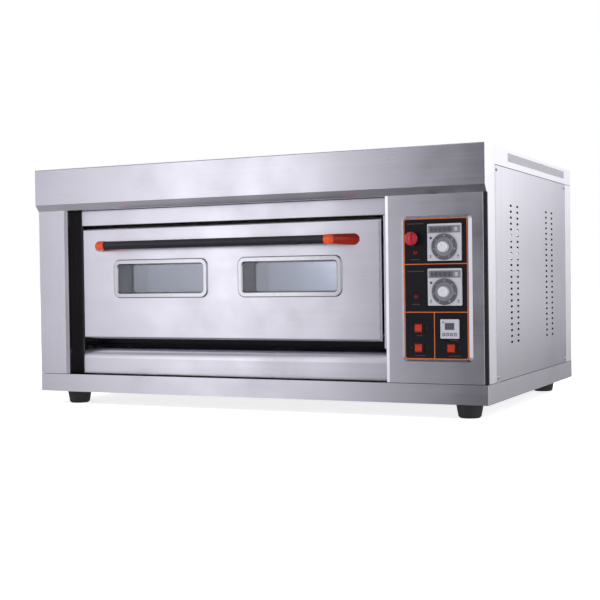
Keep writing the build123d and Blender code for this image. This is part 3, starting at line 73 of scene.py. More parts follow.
def noise(tree, vector, scale, detail, rough):
    """A noise texture's value."""
    node = tree.nodes.new("ShaderNodeTexNoise")
    node.inputs["Scale"].default_value = scale
    node.inputs["Detail"].default_value = detail
    node.inputs["Roughness"].default_value = rough
    tree.links.new(vector, node.inputs["Vector"])
    return node.outputs["Fac"]


def ranged(tree, value, low, high):
    """A noise value spread between two numbers."""
    node = tree.nodes.new("ShaderNodeMapRange")
    node.inputs["From Min"].default_value = NOISE_LOW
    node.inputs["From Max"].default_value = NOISE_HIGH
    node.inputs["To Min"].default_value = low
    node.inputs["To Max"].default_value = high
    tree.links.new(value, node.inputs["Value"])
    return node.outputs["Result"]


def blended(tree, value, dark, light):
    """A colour between two, by a value."""
    node = tree.nodes.new("ShaderNodeMix")
    node.data_type = "RGBA"
    node.inputs["A"].default_value = (*dark, 1.0)
    node.inputs["B"].default_value = (*light, 1.0)
    tree.links.new(value, node.inputs["Factor"])
    return node.outputs["Result"]


def math_node(tree, operation, *values):
    """A math node over sockets and numbers."""
    node = tree.nodes.new("ShaderNodeMath")
    node.operation = operation
    for socket, value in zip(node.inputs, values):
        if isinstance(value, (int, float)):
            socket.default_value = value
        else:
            tree.links.new(value, socket)
    return node.outputs[0]


def bump(tree, shader, height, strength, distance):
    """Feeds a height into the shader's normal."""
    node = tree.nodes.new("ShaderNodeBump")
    node.inputs["Strength"].default_value = strength
    node.inputs["Distance"].default_value = distance
    tree.links.new(height, node.inputs["Height"])
    tree.links.new(node.outputs["Normal"], shader.inputs["Normal"])


# ---- Materials ----
ALONG_GRAIN = 0.5
STREAK_SCALE = 480.0
STREAK_SHADE = (0.18, 0.36)
BAND_SCALE = 40.0
BAND_SHADE = 0.45
SMUDGE_SCALE = 7.0
SMUDGE_ROUGHNESS = (-0.04, 0.05)
COAT_ROUGHNESS = 0.12
SKIN_TO_PATCH = 14.0
FILM_TINT = 0.96
GLASS_IOR = 1.45
FIBRE_SCALE = (90.0, 90.0, 260.0)


def grained(tree, coords, grain, scale):
    """Object coordinates for a noise that is drawn out along the grain's axis."""
    scales = [ALONG_GRAIN if axis == grain else scale for axis in "xyz"]
    return mapped(tree, coords, scales)


def brushed_steel(name, grain, dark, light, roughness):
    """Stainless sheet brushed along one axis: fine streaks, broader bands and faint smudges."""
    mat, tree, shader, coords = new_material(name)
    streaks = noise(tree, grained(tree, coords, grain, STREAK_SCALE), 1.0, 2.0, 0.55)
    bands = noise(tree, grained(tree, coords, grain, BAND_SCALE), 1.0, 2.0, 0.5)
    smudges = noise(tree, coords, SMUDGE_SCALE, 3.0, 0.55)
    streak_shade = ranged(tree, streaks, *STREAK_SHADE)
    shade = math_node(tree, "MULTIPLY_ADD", bands, BAND_SHADE, streak_shade)
    smudged = ranged(tree, smudges, *SMUDGE_ROUGHNESS)
    wear = math_node(tree, "ADD", smudged, ranged(tree, streaks, *roughness))
    tree.links.new(blended(tree, shade, dark, light), shader.inputs["Base Color"])
    tree.links.new(wear, shader.inputs["Roughness"])
    shader.inputs["Metallic"].default_value = 1.0
    bump(tree, shader, streaks, 0.01, 0.0001)
    return mat


def mottled(
    name, dark, light, roughness, metallic=0.0, scale=260.0, relief=0.12, coat=0.0, shine=0.5
):
    """Moulded plastic, paint or plated metal: a fine skin of colour, gloss and relief."""
    mat, tree, shader, coords = new_material(name)
    skin = noise(tree, coords, scale, 3.0, 0.6)
    patches = noise(tree, coords, scale / SKIN_TO_PATCH, 2.0, 0.5)
    tree.links.new(blended(tree, patches, dark, light), shader.inputs["Base Color"])
    tree.links.new(ranged(tree, skin, *roughness), shader.inputs["Roughness"])
    shader.inputs["Metallic"].default_value = metallic
    shader.inputs["Specular IOR Level"].default_value = shine
    shader.inputs["Coat Weight"].default_value = coat
    shader.inputs["Coat Roughness"].default_value = COAT_ROUGHNESS
    bump(tree, shader, skin, relief, 0.0002)
    return mat


def glass(name, color, roughness):
    """A pane with a faint film of dirt in its roughness."""
    mat, tree, shader, coords = new_material(name)
    film = noise(tree, coords, 14.0, 3.0, 0.6)
    dirty = [channel * FILM_TINT for channel in color]
    tree.links.new(blended(tree, film, dirty, color), shader.inputs["Base Color"])
    tree.links.new(ranged(tree, film, *roughness), shader.inputs["Roughness"])
    shader.inputs["Transmission Weight"].default_value = 1.0
    shader.inputs["IOR"].default_value = GLASS_IOR
    return mat


def fibrous(name, dark, light):
    """Mineral wool or woven glass: matt fibres."""
    mat, tree, shader, coords = new_material(name)
    fibres = noise(tree, mapped(tree, coords, FIBRE_SCALE), 1.0, 5.0, 0.7)
    tree.links.new(blended(tree, fibres, dark, light), shader.inputs["Base Color"])
    shader.inputs["Roughness"].default_value = 0.95
    bump(tree, shader, fibres, 0.5, 0.002)
    return mat


STEEL_DARK = (0.56, 0.55, 0.615)
STEEL_LIGHT = (0.69, 0.68, 0.755)
STEEL_ROUGH = (0.22, 0.25)
MATS = {
    "steel_x": brushed_steel("steel_brushed_across", "x", STEEL_DARK, STEEL_LIGHT, STEEL_ROUGH),
    "steel_z": brushed_steel("steel_brushed_upright", "z", STEEL_DARK, STEEL_LIGHT, STEEL_ROUGH),
    "steel_side": brushed_steel("steel_side_panel", "z", STEEL_DARK, STEEL_LIGHT, (0.11, 0.14)),
    # A paler copy of the steel: painted light on faces that look sideways.
    "steel_painted_light": brushed_steel(
        "steel_sheet_painted_light", "z", (0.80, 0.79, 0.85), (0.90, 0.89, 0.94), (0.28, 0.34)
    ),
    "steel_hot": brushed_steel(
        "steel_heat_toned", "x", (0.30, 0.28, 0.27), (0.48, 0.45, 0.42), (0.35, 0.5)
    ),
    # A darker copy of the steel: painted shade for the windows' recessed sleeves.
    "steel_painted_shade": brushed_steel(
        "steel_sheet_painted_shade", "y", (0.16, 0.16, 0.18), (0.24, 0.24, 0.27), (0.35, 0.45)
    ),
    "hearth": brushed_steel(
        "hearth_steel", "y", (0.16, 0.15, 0.15), (0.28, 0.26, 0.26), (0.45, 0.6)
    ),
    "element": brushed_steel(
        "element_sheath", "x", (0.12, 0.10, 0.10), (0.24, 0.20, 0.18), (0.45, 0.6)
    ),
    "plated": mottled(
        "plated_hardware", (0.50, 0.50, 0.52), (0.66, 0.66, 0.68), (0.24, 0.36), metallic=1.0
    ),
    "polished": mottled(
        "polished_trim", (0.44, 0.44, 0.48), (0.52, 0.52, 0.56), (0.12, 0.20), metallic=1.0,
        scale=90.0, relief=0.04,
    ),
    "bronze": mottled(
        "sintered_bronze", (0.45, 0.30, 0.12), (0.60, 0.42, 0.18), (0.35, 0.5), metallic=1.0
    ),
    "grey_paint": mottled(
        "grey_powder_coat", (0.20, 0.205, 0.22), (0.25, 0.255, 0.27), (0.45, 0.6), scale=700.0,
        relief=0.3,
    ),
    "black_gloss": mottled(
        "black_gloss_paint", (0.010, 0.008, 0.010), (0.018, 0.014, 0.018), (0.08, 0.16),
        scale=60.0, relief=0.03, coat=0.6,
    ),
    "black_plastic": mottled(
        "black_moulding", (0.008, 0.008, 0.010), (0.015, 0.014, 0.018), (0.38, 0.52), shine=0.25
    ),
    "rod_black": mottled(
        "rod_black", (0.008, 0.008, 0.012), (0.014, 0.013, 0.019), (0.30, 0.38), scale=500.0,
        relief=0.1, shine=0.45,
    ),
    "rubber": mottled(
        "foot_rubber", (0.010, 0.010, 0.012), (0.022, 0.022, 0.025), (0.55, 0.75), scale=400.0,
        relief=0.4,
    ),
    "overlay": mottled(
        "overlay_print", (0.006, 0.006, 0.009), (0.011, 0.010, 0.015), (0.34, 0.46), scale=900.0,
        relief=0.15, shine=0.14,
    ),
    "orange_line": mottled(
        "orange_print", (0.46, 0.10, 0.018), (0.56, 0.14, 0.028), (0.35, 0.45), shine=0.2
    ),
    "print_grey": mottled("grey_print", (0.34, 0.33, 0.38), (0.42, 0.41, 0.46), (0.4, 0.5)),
    "grey_plastic": mottled(
        "instrument_grey", (0.40, 0.40, 0.46), (0.46, 0.46, 0.52), (0.34, 0.48), scale=900.0,
        relief=0.2,
    ),
    "dial_ring": mottled(
        "dial_ring", (0.080, 0.078, 0.092), (0.125, 0.122, 0.142), (0.30, 0.42), metallic=0.3,
        scale=700.0, relief=0.15,
    ),
    "dial_cone": mottled(
        "dial_cone", (0.20, 0.20, 0.235), (0.29, 0.29, 0.33), (0.28, 0.4), metallic=0.5,
        scale=500.0, relief=0.1,
    ),
    "white_print": mottled("white_print", (0.42, 0.42, 0.46), (0.54, 0.54, 0.58), (0.4, 0.5)),
    "meter_print": mottled("meter_print", (0.045, 0.043, 0.05), (0.075, 0.07, 0.08), (0.4, 0.5)),
    "print_dark": mottled("dark_print", (0.02, 0.02, 0.03), (0.05, 0.05, 0.065), (0.35, 0.5)),
    "label_brown": mottled(
        "label_print", (0.050, 0.026, 0.018), (0.085, 0.045, 0.030), (0.4, 0.5)
    ),
    "display": mottled(
        "dark_display", (0.085, 0.085, 0.105), (0.115, 0.115, 0.14), (0.14, 0.22), scale=60.0,
        relief=0.03, coat=0.2,
    ),
    "print_red": mottled("red_print", (0.12, 0.02, 0.01), (0.18, 0.03, 0.015), (0.4, 0.5)),
    "dial_knob": mottled(
        "dial_knob", (0.66, 0.66, 0.71), (0.80, 0.80, 0.84), (0.2, 0.3), metallic=0.4,
        scale=400.0, relief=0.08,
    ),
    "window_grey": mottled(
        "smoked_window", (0.17, 0.165, 0.19), (0.22, 0.215, 0.245), (0.12, 0.2), scale=60.0,
        relief=0.03, coat=0.3,
    ),
    "red": mottled(
        "rocker_red", (0.32, 0.012, 0.003), (0.45, 0.028, 0.006), (0.16, 0.26), scale=300.0,
        relief=0.05, coat=0.3,
    ),
    "orange_red": mottled(
        "bracket_orange_red", (0.56, 0.050, 0.010), (0.70, 0.085, 0.018), (0.14, 0.24),
        scale=300.0, relief=0.05, coat=0.2, shine=0.35,
    ),
    # A darker copy of the brackets' red: painted shade on the right bracket's elbow.
    "red_painted_shade": mottled(
        "bracket_red_painted_shade", (0.24, 0.008, 0.003), (0.34, 0.018, 0.006), (0.14, 0.24), scale=300.0,
        relief=0.05, coat=0.2, shine=0.35,
    ),
    "stop_red": mottled(
        "stop_crimson", (0.28, 0.003, 0.010), (0.42, 0.008, 0.020), (0.18, 0.28), scale=300.0,
        relief=0.05, coat=0.3,
    ),
    "lamp_red": mottled(
        "lamp_dark_red", (0.07, 0.002, 0.010), (0.12, 0.004, 0.018), (0.16, 0.26), scale=120.0,
        relief=0.04, coat=0.15, shine=0.35,
    ),
    "glass": glass("door_glass", (0.76, 0.82, 0.94), (0.02, 0.06)),
    "clear_glass": glass("lamp_glass", (0.96, 0.96, 0.94), (0.05, 0.12)),
    # The wool's own yellowish colour is darkened here as painted shade where it shows through
    # gaps.
    "wool": fibrous("mineral_wool", (0.22, 0.20, 0.14), (0.36, 0.33, 0.24)),
    "gasket": fibrous("glass_fibre_rope", (0.16, 0.15, 0.14), (0.28, 0.27, 0.25)),
}

SLOT_MATERIAL = {
    "stainless": "steel_x",
    "stainless_dark": "steel_hot",
    "hardware": "plated",
    "frame_paint": "grey_paint",
    "black_paint": "black_gloss",
    "black_rubber": "rubber",
    "black_plastic": "black_plastic",
    "overlay_black": "overlay",
    "grey_plastic": "grey_plastic",
    "dial_grey": "dial_ring",
    "window_grey": "window_grey",
    "red_plastic": "red",
    "stop_red": "stop_red",
    "lamp_red": "lamp_red",
    "orange_red": "orange_red",
    "frame_chrome": "polished",
    "glass": "glass",
    "clear_glass": "clear_glass",
    "mineral_wool": "wool",
    "gasket": "gasket",
    "bronze": "bronze",
    "element": "element",
}
OWN_MATERIAL = {
    "side_panels": "steel_side",
    # The posts on the side get the paler steel as painted light.
    "right_front_post": "steel_painted_light",
    "rear_posts": "steel_painted_light",
    "right_stile": "steel_z",
    "left_column": "steel_z",
    "hearth_plates": "hearth",
    "handle_rod": "rod_black",
}
for entry in frame["record"]["subparts"]:
    key = OWN_MATERIAL.get(entry["node"], SLOT_MATERIAL[entry["material_slot"]])
    mesh = NODES[entry["node"]].data
    mesh.materials.clear()
    mesh.materials.append(MATS[key])


# ---- Mesh helpers ----
# Printing stands this far proud of its face, and reaches this far into it.
PRINT_RISE = 0.15 * MM
SINK = 0.2 * MM
SMALLEST_RADIUS = 0.8 * MM
ROUND_SIDES = 20
# A round mark's edge is chamfered from this share of its height, to this share of its radius.
CHAMFER_FROM = 0.6
CHAMFER_TO = 0.7


def placed(name, data):
    """An object that shows some data, linked into the scene."""
    thing = bpy.data.objects.new(name, data)
    bpy.context.scene.collection.objects.link(thing)
    return thing


def show_piece(mesh, name, material, body):
    """Shows a mesh as a piece that rides on a body."""
    mesh.materials.clear()
    mesh.materials.append(MATS[material])
    piece = placed(name, mesh)
    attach(piece, body)


def piece_from(bm, name, material, body, smooth=False):
    """Turns a bmesh into a piece that rides on a body."""
    mesh = bpy.data.meshes.new(name)
    bmesh.ops.recalc_face_normals(bm, faces=bm.faces)
    bm.to_mesh(mesh)
    bm.free()
    for face in mesh.polygons:
        face.use_smooth = smooth
    show_piece(mesh, name, material, body)


def front_middle(node):
    """The middle of a piece's box as seen from the front, as x and z."""
    low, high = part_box(node)
    return (low.x + high.x) / 2, (low.z + high.z) / 2


def rounded_loop(width, height, radius, steps):
    """The corners of a rounded rectangle about the origin, anticlockwise."""
    points = []
    for quarter, (sx, sz) in enumerate(((1, 1), (-1, 1), (-1, -1), (1, -1))):
        for step in range(steps + 1):
            angle = math.radians(90 * quarter + 90 * step / steps)
            x = sx * (width / 2 - radius) + radius * math.cos(angle)
            z = sz * (height / 2 - radius) + radius * math.sin(angle)
            points.append((x, z))
    return points


def bridge(bm, ring, following):
    """Joins two rings of vertices with quads."""
    for k in range(len(ring)):
        n = (k + 1) % len(ring)
        bm.faces.new((ring[k], ring[n], following[n], following[k]))


def swept_frame(bm, centre, size, radius, profile, steps=8):
    """Sweeps a closed profile of (inset, y) round a rounded rectangle on the front."""
    rings = []
    for inset, y in profile:
        corner = max(radius - inset, SMALLEST_RADIUS)
        loop = rounded_loop(size[0] - 2 * inset, size[1] - 2 * inset, corner, steps)
        rings.append([bm.verts.new((centre[0] + x, y, centre[1] + z)) for x, z in loop])
    for ring, following in zip(rings, rings[1:] + rings[:1]):
        bridge(bm, ring, following)


def stacked(bm, rings):
    """Adds a closed solid through rings of points to a bmesh, capped at both ends."""
    rings = [[bm.verts.new(point) for point in ring] for ring in rings]
    for ring, following in zip(rings, rings[1:]):
        bridge(bm, ring, following)
    bm.faces.new(rings[0][::-1])
    bm.faces.new(rings[-1])


def slab(bm, x0, x1, y0, y1, z0, z1):
    """Adds a closed box between two corners to a bmesh."""
    stacked(bm, [[(x0, y, z0), (x1, y, z0), (x1, y, z1), (x0, y, z1)] for y in (y0, y1)])


def bar(bm, x, z, half_x, half_z, face_y, rise=PRINT_RISE):
    """A thin printed bar about a point of a face that looks to the front."""
    slab(bm, x - half_x, x + half_x, face_y - rise, face_y + SINK, z - half_z, z + half_z)


def round_mark(bm, x, z, face_y, radius, rise):
    """A small round mark standing on a front face."""
    rings = []
    levels = ((1.0, -SINK), (1.0, CHAMFER_FROM * rise), (CHAMFER_TO, rise))
    for share, proud in levels:
        loop = []
        for k in range(ROUND_SIDES):
            turn = 2 * math.pi * k / ROUND_SIDES
            reach = share * radius
            loop.append((x + reach * math.cos(turn), face_y - proud, z + reach * math.sin(turn)))
        rings.append(loop)
    stacked(bm, rings)


# ---- Window trims ----
WINDOW_WIDE = 298 * MM
TRIM_CORNER = 20 * MM
# The bead's closed profile in millimetres: inset from the trim's edge, depth behind its front.
TRIM_BEAD = ((1.0, 3.0), (1.0, 0.6), (2.2, -0.6), (3.6, 0.4), (3.6, 3.0))


def window_trims():
    """Rolled beads that stand on the flats of the CAD's window frames."""
    low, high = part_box("window_frames")
    size = (WINDOW_WIDE, high.z - low.z)
    profile = [(inset * MM, low.y + depth * MM) for inset, depth in TRIM_BEAD]
    for name, x in (("left", low.x + WINDOW_WIDE / 2), ("right", high.x - WINDOW_WIDE / 2)):
        bm = bmesh.new()
        swept_frame(bm, (x, (low.z + high.z) / 2), size, TRIM_CORNER, profile)
        piece_from(bm, f"window_bead_{name}", "polished", "door", smooth=True)


window_trims()

# ---- The jamb's fold, which closes the corner between the jamb and the rail ----
FOLD_GAP = 1 * MM
FOLD_BEHIND = 22 * MM
FOLD_THICK = 2 * MM
FOLD_BELOW = 14 * MM
FOLD_ABOVE = 40 * MM


def jamb_fold():
    """A dark fold behind the rail's left end."""
    low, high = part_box("jamb_channel")
    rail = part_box("upper_rail")[0]
    x0, x1 = low.x + FOLD_GAP, high.x - FOLD_GAP
    y = rail.y + FOLD_BEHIND
    bm = bmesh.new()
    slab(bm, x0, x1, y, y + FOLD_THICK, rail.z - FOLD_BELOW, rail.z + FOLD_ABOVE)
    piece_from(bm, "jamb_fold", "black_plastic", "cabinet")


jamb_fold()

# ---- Pieces whose faces have a second finish ----
SLEEVE_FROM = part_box("window_frames")[0].y + 6 * MM
# Where the right bracket's painted shade begins.
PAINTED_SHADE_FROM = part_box("handle_brackets")[1].x - 46 * MM
# Where the sill's painted shade begins, behind the door.
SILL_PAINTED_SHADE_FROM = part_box("door_outer_skin")[0].y + 75 * MM
SIDEWAYS = 0.9
EDGEWAYS = 0.6


def second_finish(node, material, chosen):
    """Gives those faces of a piece that pass a test a second material."""
    mesh = NODES[node].data
    mesh.materials.append(MATS[material])
    for face in mesh.polygons:
        face.material_index = 1 if chosen(face) else 0


# The windows' sleeves, behind the trims, are darker than the bright flats: a darker steel there
# is painted shade in the recess.
# Faces behind the trims get the painted shade.
second_finish("window_frames", "steel_painted_shade", lambda face: face.center.y > SLEEVE_FROM)
# The side faces of the hood and the top cover are paler than their fronts: a paler steel there is
# painted light on the faces that look sideways.
second_finish("canopy_hood", "steel_painted_light", lambda face: abs(face.normal.x) > SIDEWAYS)
second_finish("top_cover", "steel_painted_light", lambda face: abs(face.normal.x) > SIDEWAYS)
# The right bracket is a deeper red beyond its collar: painted shade on the same plastic as the
# left bracket.
second_finish("handle_brackets", "red_painted_shade", lambda face: face.center.x > PAINTED_SHADE_FROM)
# The sill is dark behind the door: black plastic there is painted shade under the door.
second_finish("sill_apron", "black_plastic", lambda face: face.center.y > SILL_PAINTED_SHADE_FROM)
# The overlay's edge is black on the left; its faces looking right get polished metal as a painted
# highlight.
second_finish("control_overlay", "polished", lambda face: face.normal.x > EDGEWAYS)

# ---- Control panel printing ----
OVERLAY_LOW, OVERLAY_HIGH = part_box("control_overlay")
PRINT_Y = OVERLAY_LOW.y
LINE = 2.1 * MM
LINE_INSET = 0.6 * MM
PANEL_CORNER = 7 * MM
# The dividing lines, measured from the overlay's lower left corner.
UPPER_DIVIDER = 228 * MM
LOWER_DIVIDER = 113 * MM
MIDDLE_DIVIDER = 76 * MM
# Prints that cross or touch have different heights, so that no two faces coincide.
LEVEL_RISE = 0.9 * PRINT_RISE
UPRIGHT_RISE = 0.8 * PRINT_RISE
DASH_RISE = 0.7 * PRINT_RISE


def panel_lines():
    """The orange border and dividing lines printed on the overlay."""
    x0, x1 = OVERLAY_LOW.x + LINE_INSET, OVERLAY_HIGH.x - LINE_INSET
    z0, z1 = OVERLAY_LOW.z + LINE_INSET, OVERLAY_HIGH.z - LINE_INSET
    centre = ((x0 + x1) / 2, (z0 + z1) / 2)
    corners = ((0, SINK), (0, -PRINT_RISE), (LINE, -PRINT_RISE), (LINE, SINK))
    profile = [(inset, PRINT_Y + depth) for inset, depth in corners]
    half = LINE / 2
    bm = bmesh.new()
    swept_frame(bm, centre, (x1 - x0, z1 - z0), PANEL_CORNER, profile)
    for height in (UPPER_DIVIDER, LOWER_DIVIDER):
        z = OVERLAY_LOW.z + height
        bar(bm, centre[0], z, (x1 - x0) / 2 - half, half, PRINT_Y, LEVEL_RISE)
    bottom, top = z0 + half, OVERLAY_LOW.z + LOWER_DIVIDER
    upright = OVERLAY_LOW.x + MIDDLE_DIVIDER
    bar(bm, upright, (bottom + top) / 2, half, (top - bottom) / 2, PRINT_Y, UPRIGHT_RISE)
    piece_from(bm, "panel_orange_lines", "orange_line", "cabinet")


panel_lines()

# Plain dashes where the panel carries its captions, in millimetres: the middle's distance from
# the overlay's left edge, the drop from its top edge, the row's length.
CAPTIONS = (
    (30, 13, 40),
    (30, 127, 40),
    (29, 99, 22),
    (30, 206, 18),
    (38, 281, 17),
    (39, 329, 26),
    (125, 292, 20),
    (126, 329, 32),
)
DASH = 2.4 * MM
DASH_PITCH = 3.8 * MM


def captions():
    """Rows of small dashes in place of the panel's captions."""
    bm = bmesh.new()
    for across, drop, length in CAPTIONS:
        count = round(length * MM / DASH_PITCH)
        z = OVERLAY_HIGH.z - drop * MM
        for k in range(count):
            x = OVERLAY_LOW.x + across * MM + (k - (count - 1) / 2) * DASH_PITCH
            bar(bm, x, z, DASH / 2, DASH / 2, PRINT_Y, DASH_RISE)
    piece_from(bm, "panel_captions", "label_brown", "cabinet")


captions()

# ---- Dials ----
# A dial's finish by the distance from its axis: knob, then cone, then skirt.
KNOB_TO = 13.8 * MM
SKIRT_FROM = 22.8 * MM
DIAL_FRONT_TO_SKIRT = 14.5 * MM
DIAL_SWEEP = 300
DIAL_STEPS = 30
STEPS_PER_LONG = 5
DIAL_FIGURES = (0, 50, 100, 150, 200, 250, 300)
# Distances inwards from the skirt's rim to a graduation's two ends, and half its width.
LONG_FROM, LONG_HALF = 3.4 * MM, 0.32 * MM
SHORT_FROM, SHORT_HALF = 2.2 * MM, 0.22 * MM
GRADUATION_TO = 0.9 * MM
FIGURE_IN = 5.8 * MM
FIGURE_SIZE = 3.6 * MM
FIGURE_CURVE_STEPS = 3


def finish_dial(node, axis_x, axis_z):
    """Gives a dial's skirt, cone and knob their own finishes."""
    mesh = NODES[node].data
    mesh.materials.append(MATS["dial_cone"])
    mesh.materials.append(MATS["dial_knob"])
    for face in mesh.polygons:
        reach = math.hypot(face.center.x - axis_x, face.center.z - axis_z)
        face.material_index = 0 if reach > SKIRT_FROM else 2 if reach < KNOB_TO else 1


def lettering(text, place, spin, name, material, body):
    """Raised figures on a front face, turned about their own middle."""
    curve = bpy.data.curves.new(name, "FONT")
    curve.body = text
    curve.size = FIGURE_SIZE
    curve.align_x = "CENTER"
    curve.align_y = "CENTER"
    curve.extrude = PRINT_RISE
    curve.resolution_u = FIGURE_CURVE_STEPS
    drawn = placed(name + "_curve", curve)
    graph = bpy.context.evaluated_depsgraph_get()
    mesh = bpy.data.meshes.new_from_object(drawn.evaluated_get(graph))
    bpy.data.objects.remove(drawn)
    bpy.data.curves.remove(curve)
    upright = Matrix.Rotation(math.radians(90), 4, "X")
    mesh.transform(Matrix.Translation(place) @ Matrix.Rotation(spin, 4, "Y") @ upright)
    mesh.name = name
    show_piece(mesh, name, material, body)


def dial_angle(share):
    """The angle at a share of the dial's sweep, clockwise from its lower left end."""
    return math.radians(90 + DIAL_SWEEP / 2 - DIAL_SWEEP * share)


def dial_marks(node):
    """Graduations and figures round a dial's skirt."""
    low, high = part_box(node)
    axis_x, axis_z = front_middle(node)
    radius = (high.x - low.x) / 2
    skirt_y = low.y + DIAL_FRONT_TO_SKIRT
    finish_dial(node, axis_x, axis_z)
    bm = bmesh.new()
    for step in range(DIAL_STEPS + 1):
        angle = dial_angle(step / DIAL_STEPS)
        is_long = step % STEPS_PER_LONG == 0
        inner = radius - (LONG_FROM if is_long else SHORT_FROM)
        outer = radius - GRADUATION_TO
        centre = Vector((axis_x, 0, axis_z))
        along = Vector((math.cos(angle), 0, math.sin(angle)))
        across = Vector((-along.z, 0, along.x)) * (LONG_HALF if is_long else SHORT_HALF)
        sides = ((inner, -1), (outer, -1), (outer, 1), (inner, 1))
        corners = [centre + along * reach + across * side for reach, side in sides]
        levels = (skirt_y - PRINT_RISE, skirt_y + SINK)
        stacked(bm, [[(corner.x, y, corner.z) for corner in corners] for y in levels])
    piece_from(bm, f"{node}_graduations", "white_print", node)
    reach = radius - FIGURE_IN
    for figure in DIAL_FIGURES:
        angle = dial_angle(figure / DIAL_FIGURES[-1])
        place = (axis_x + reach * math.cos(angle), skirt_y, axis_z + reach * math.sin(angle))
        name = f"{node}_figure_{figure}"
        spin = math.pi / 2 - angle
        lettering(str(figure), place, spin, name, "white_print", node)


for level in ("lower", "upper"):
    dial_marks(f"dial_{level}")

# ---- Controller faces ----
CASES_LOW, CASES_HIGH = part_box("controllers")
CASE_HALF = (CASES_HIGH.x - CASES_LOW.x) / 2
CASE_HALF_TALL = 44.25 * MM
# The dial's axis lies under the case's middle, and the meter above it.
DIAL_DROP = 11 * MM
METER_RISE = 30.5 * MM
METER_HALF = 6.2 * MM
METER_BARS = 20
METER_IN = 9 * MM
METER_SPREAD = 2 * CASE_HALF - 32 * MM
METER_WIDE_HALF, METER_NARROW_HALF = 0.75 * MM, 0.35 * MM
FLAG_IN = 12.5 * MM
FLAG_HALF_WIDE, FLAG_HALF_TALL = 3.5 * MM, 4.5 * MM
# The marks' distances from the case's edges.
STATUS_IN, STATUS_DOWN, STATUS_RADIUS, STATUS_RISE = 9 * MM, 34 * MM, 3 * MM, 0.8 * MM
CORNER_IN, CORNER_UP, CORNER_RADIUS, CORNER_RISE = 8 * MM, 12 * MM, 1.9 * MM, 0.4 * MM
TICK_UP, TICK_HALF_WIDE, TICK_HALF_TALL = 7.6 * MM, 2.6 * MM, 0.6 * MM


def controller_marks():
    """The meter scales and flags, status dots and corner marks on both controllers."""
    scale, marks, flags = bmesh.new(), bmesh.new(), bmesh.new()
    face_y = CASES_LOW.y
    meter_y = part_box("instrument_windows")[0].y
    for level in ("lower", "upper"):
        x, axis_z = front_middle(f"dial_{level}")
        z = axis_z + DIAL_DROP
        left, right = x - CASE_HALF, x + CASE_HALF
        bottom, top = z - CASE_HALF_TALL, z + CASE_HALF_TALL
        meter_z = z + METER_RISE
        for k in range(METER_BARS):
            bar_x = left + METER_IN + k * METER_SPREAD / (METER_BARS - 1)
            half = METER_WIDE_HALF if k % 4 in (0, 1) else METER_NARROW_HALF
            bar(scale, bar_x, meter_z, half, METER_HALF, meter_y)
        bar(flags, right - FLAG_IN, meter_z, FLAG_HALF_WIDE, FLAG_HALF_TALL, meter_y)
        status = (left + STATUS_IN, top - STATUS_DOWN)
        round_mark(marks, *status, face_y, STATUS_RADIUS, STATUS_RISE)
        for corner_x in (left + CORNER_IN, right - CORNER_IN):
            round_mark(marks, corner_x, bottom + CORNER_UP, face_y, CORNER_RADIUS, CORNER_RISE)
            bar(marks, corner_x, bottom + TICK_UP, TICK_HALF_WIDE, TICK_HALF_TALL, face_y)
    piece_from(scale, "meter_scales", "meter_print", "cabinet")
    piece_from(flags, "meter_flags", "print_grey", "cabinet")
    piece_from(marks, "controller_marks", "print_dark", "cabinet")


controller_marks()

# ---- Timer face and keys ----
DISPLAY_RISE = 6 * MM
SEGMENT_COLUMNS = 4
SEGMENT_PITCH = 5 * MM
SEGMENT_ROW = 3.2 * MM
SEGMENT_HALF_WIDE, SEGMENT_HALF_TALL = 1.6 * MM, 2.2 * MM
TIMER_DOT_IN, TIMER_DOT_DOWN = 7.5 * MM, 7 * MM
TIMER_DOT_RADIUS, TIMER_DOT_RISE = 1.8 * MM, 0.5 * MM
ICON_SIZE = (5.6 * MM, 6 * MM)
ICON_CORNER = 0.8 * MM
ICON_STEPS = 3
# The icon outline's closed profile in millimetres: inset, depth behind the key's face.
ICON_PROFILE = ((0, 0.2), (0, -0.12), (1.2, -0.12), (1.2, 0.2))


def timer_marks():
    """The timer's display with its figures, its status dot and the icons on its keys."""
    low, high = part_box("timer_case")
    case_x, case_z = front_middle("timer_case")
    second_finish("instrument_windows", "display", lambda face: face.center.z < high.z)
    window_points = [vertex.co for vertex in NODES["instrument_windows"].data.vertices]
    display_y = min(point.y for point in window_points if point.z < high.z)
    bm = bmesh.new()
    for column in range(SEGMENT_COLUMNS):
        x = case_x + (column - (SEGMENT_COLUMNS - 1) / 2) * SEGMENT_PITCH
        for row in (-SEGMENT_ROW, SEGMENT_ROW):
            z = case_z + DISPLAY_RISE + row
            bar(bm, x, z, SEGMENT_HALF_WIDE, SEGMENT_HALF_TALL, display_y)
    piece_from(bm, "timer_segments", "print_dark", "cabinet")
    bm = bmesh.new()
    dot = (low.x + TIMER_DOT_IN, high.z - TIMER_DOT_DOWN)
    round_mark(bm, *dot, low.y, TIMER_DOT_RADIUS, TIMER_DOT_RISE)
    piece_from(bm, "timer_dot", "print_dark", "cabinet")
    for number in range(1, 5):
        node = f"timer_key_{number}"
        key_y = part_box(node)[0].y
        profile = [(inset * MM, key_y + depth * MM) for inset, depth in ICON_PROFILE]
        bm = bmesh.new()
        swept_frame(bm, front_middle(node), ICON_SIZE, ICON_CORNER, profile, ICON_STEPS)
        piece_from(bm, f"timer_icon_{number}", "print_dark", node)


timer_marks()

# ---- Dots beside the switches ----
DOT_BESIDE = 19 * MM
DOT_RADIUS = 1.1 * MM


def switch_dots():
    """Two dots beside each switch."""
    dots = bmesh.new()
    for node in ("rocker_power", "rocker_lamp", "rocker_timer"):
        x, z = front_middle(node)
        for beside in (-DOT_BESIDE, DOT_BESIDE):
            round_mark(dots, x + beside, z, PRINT_Y, DOT_RADIUS, PRINT_RISE)
    piece_from(dots, "switch_dots", "print_red", "cabinet")


switch_dots()

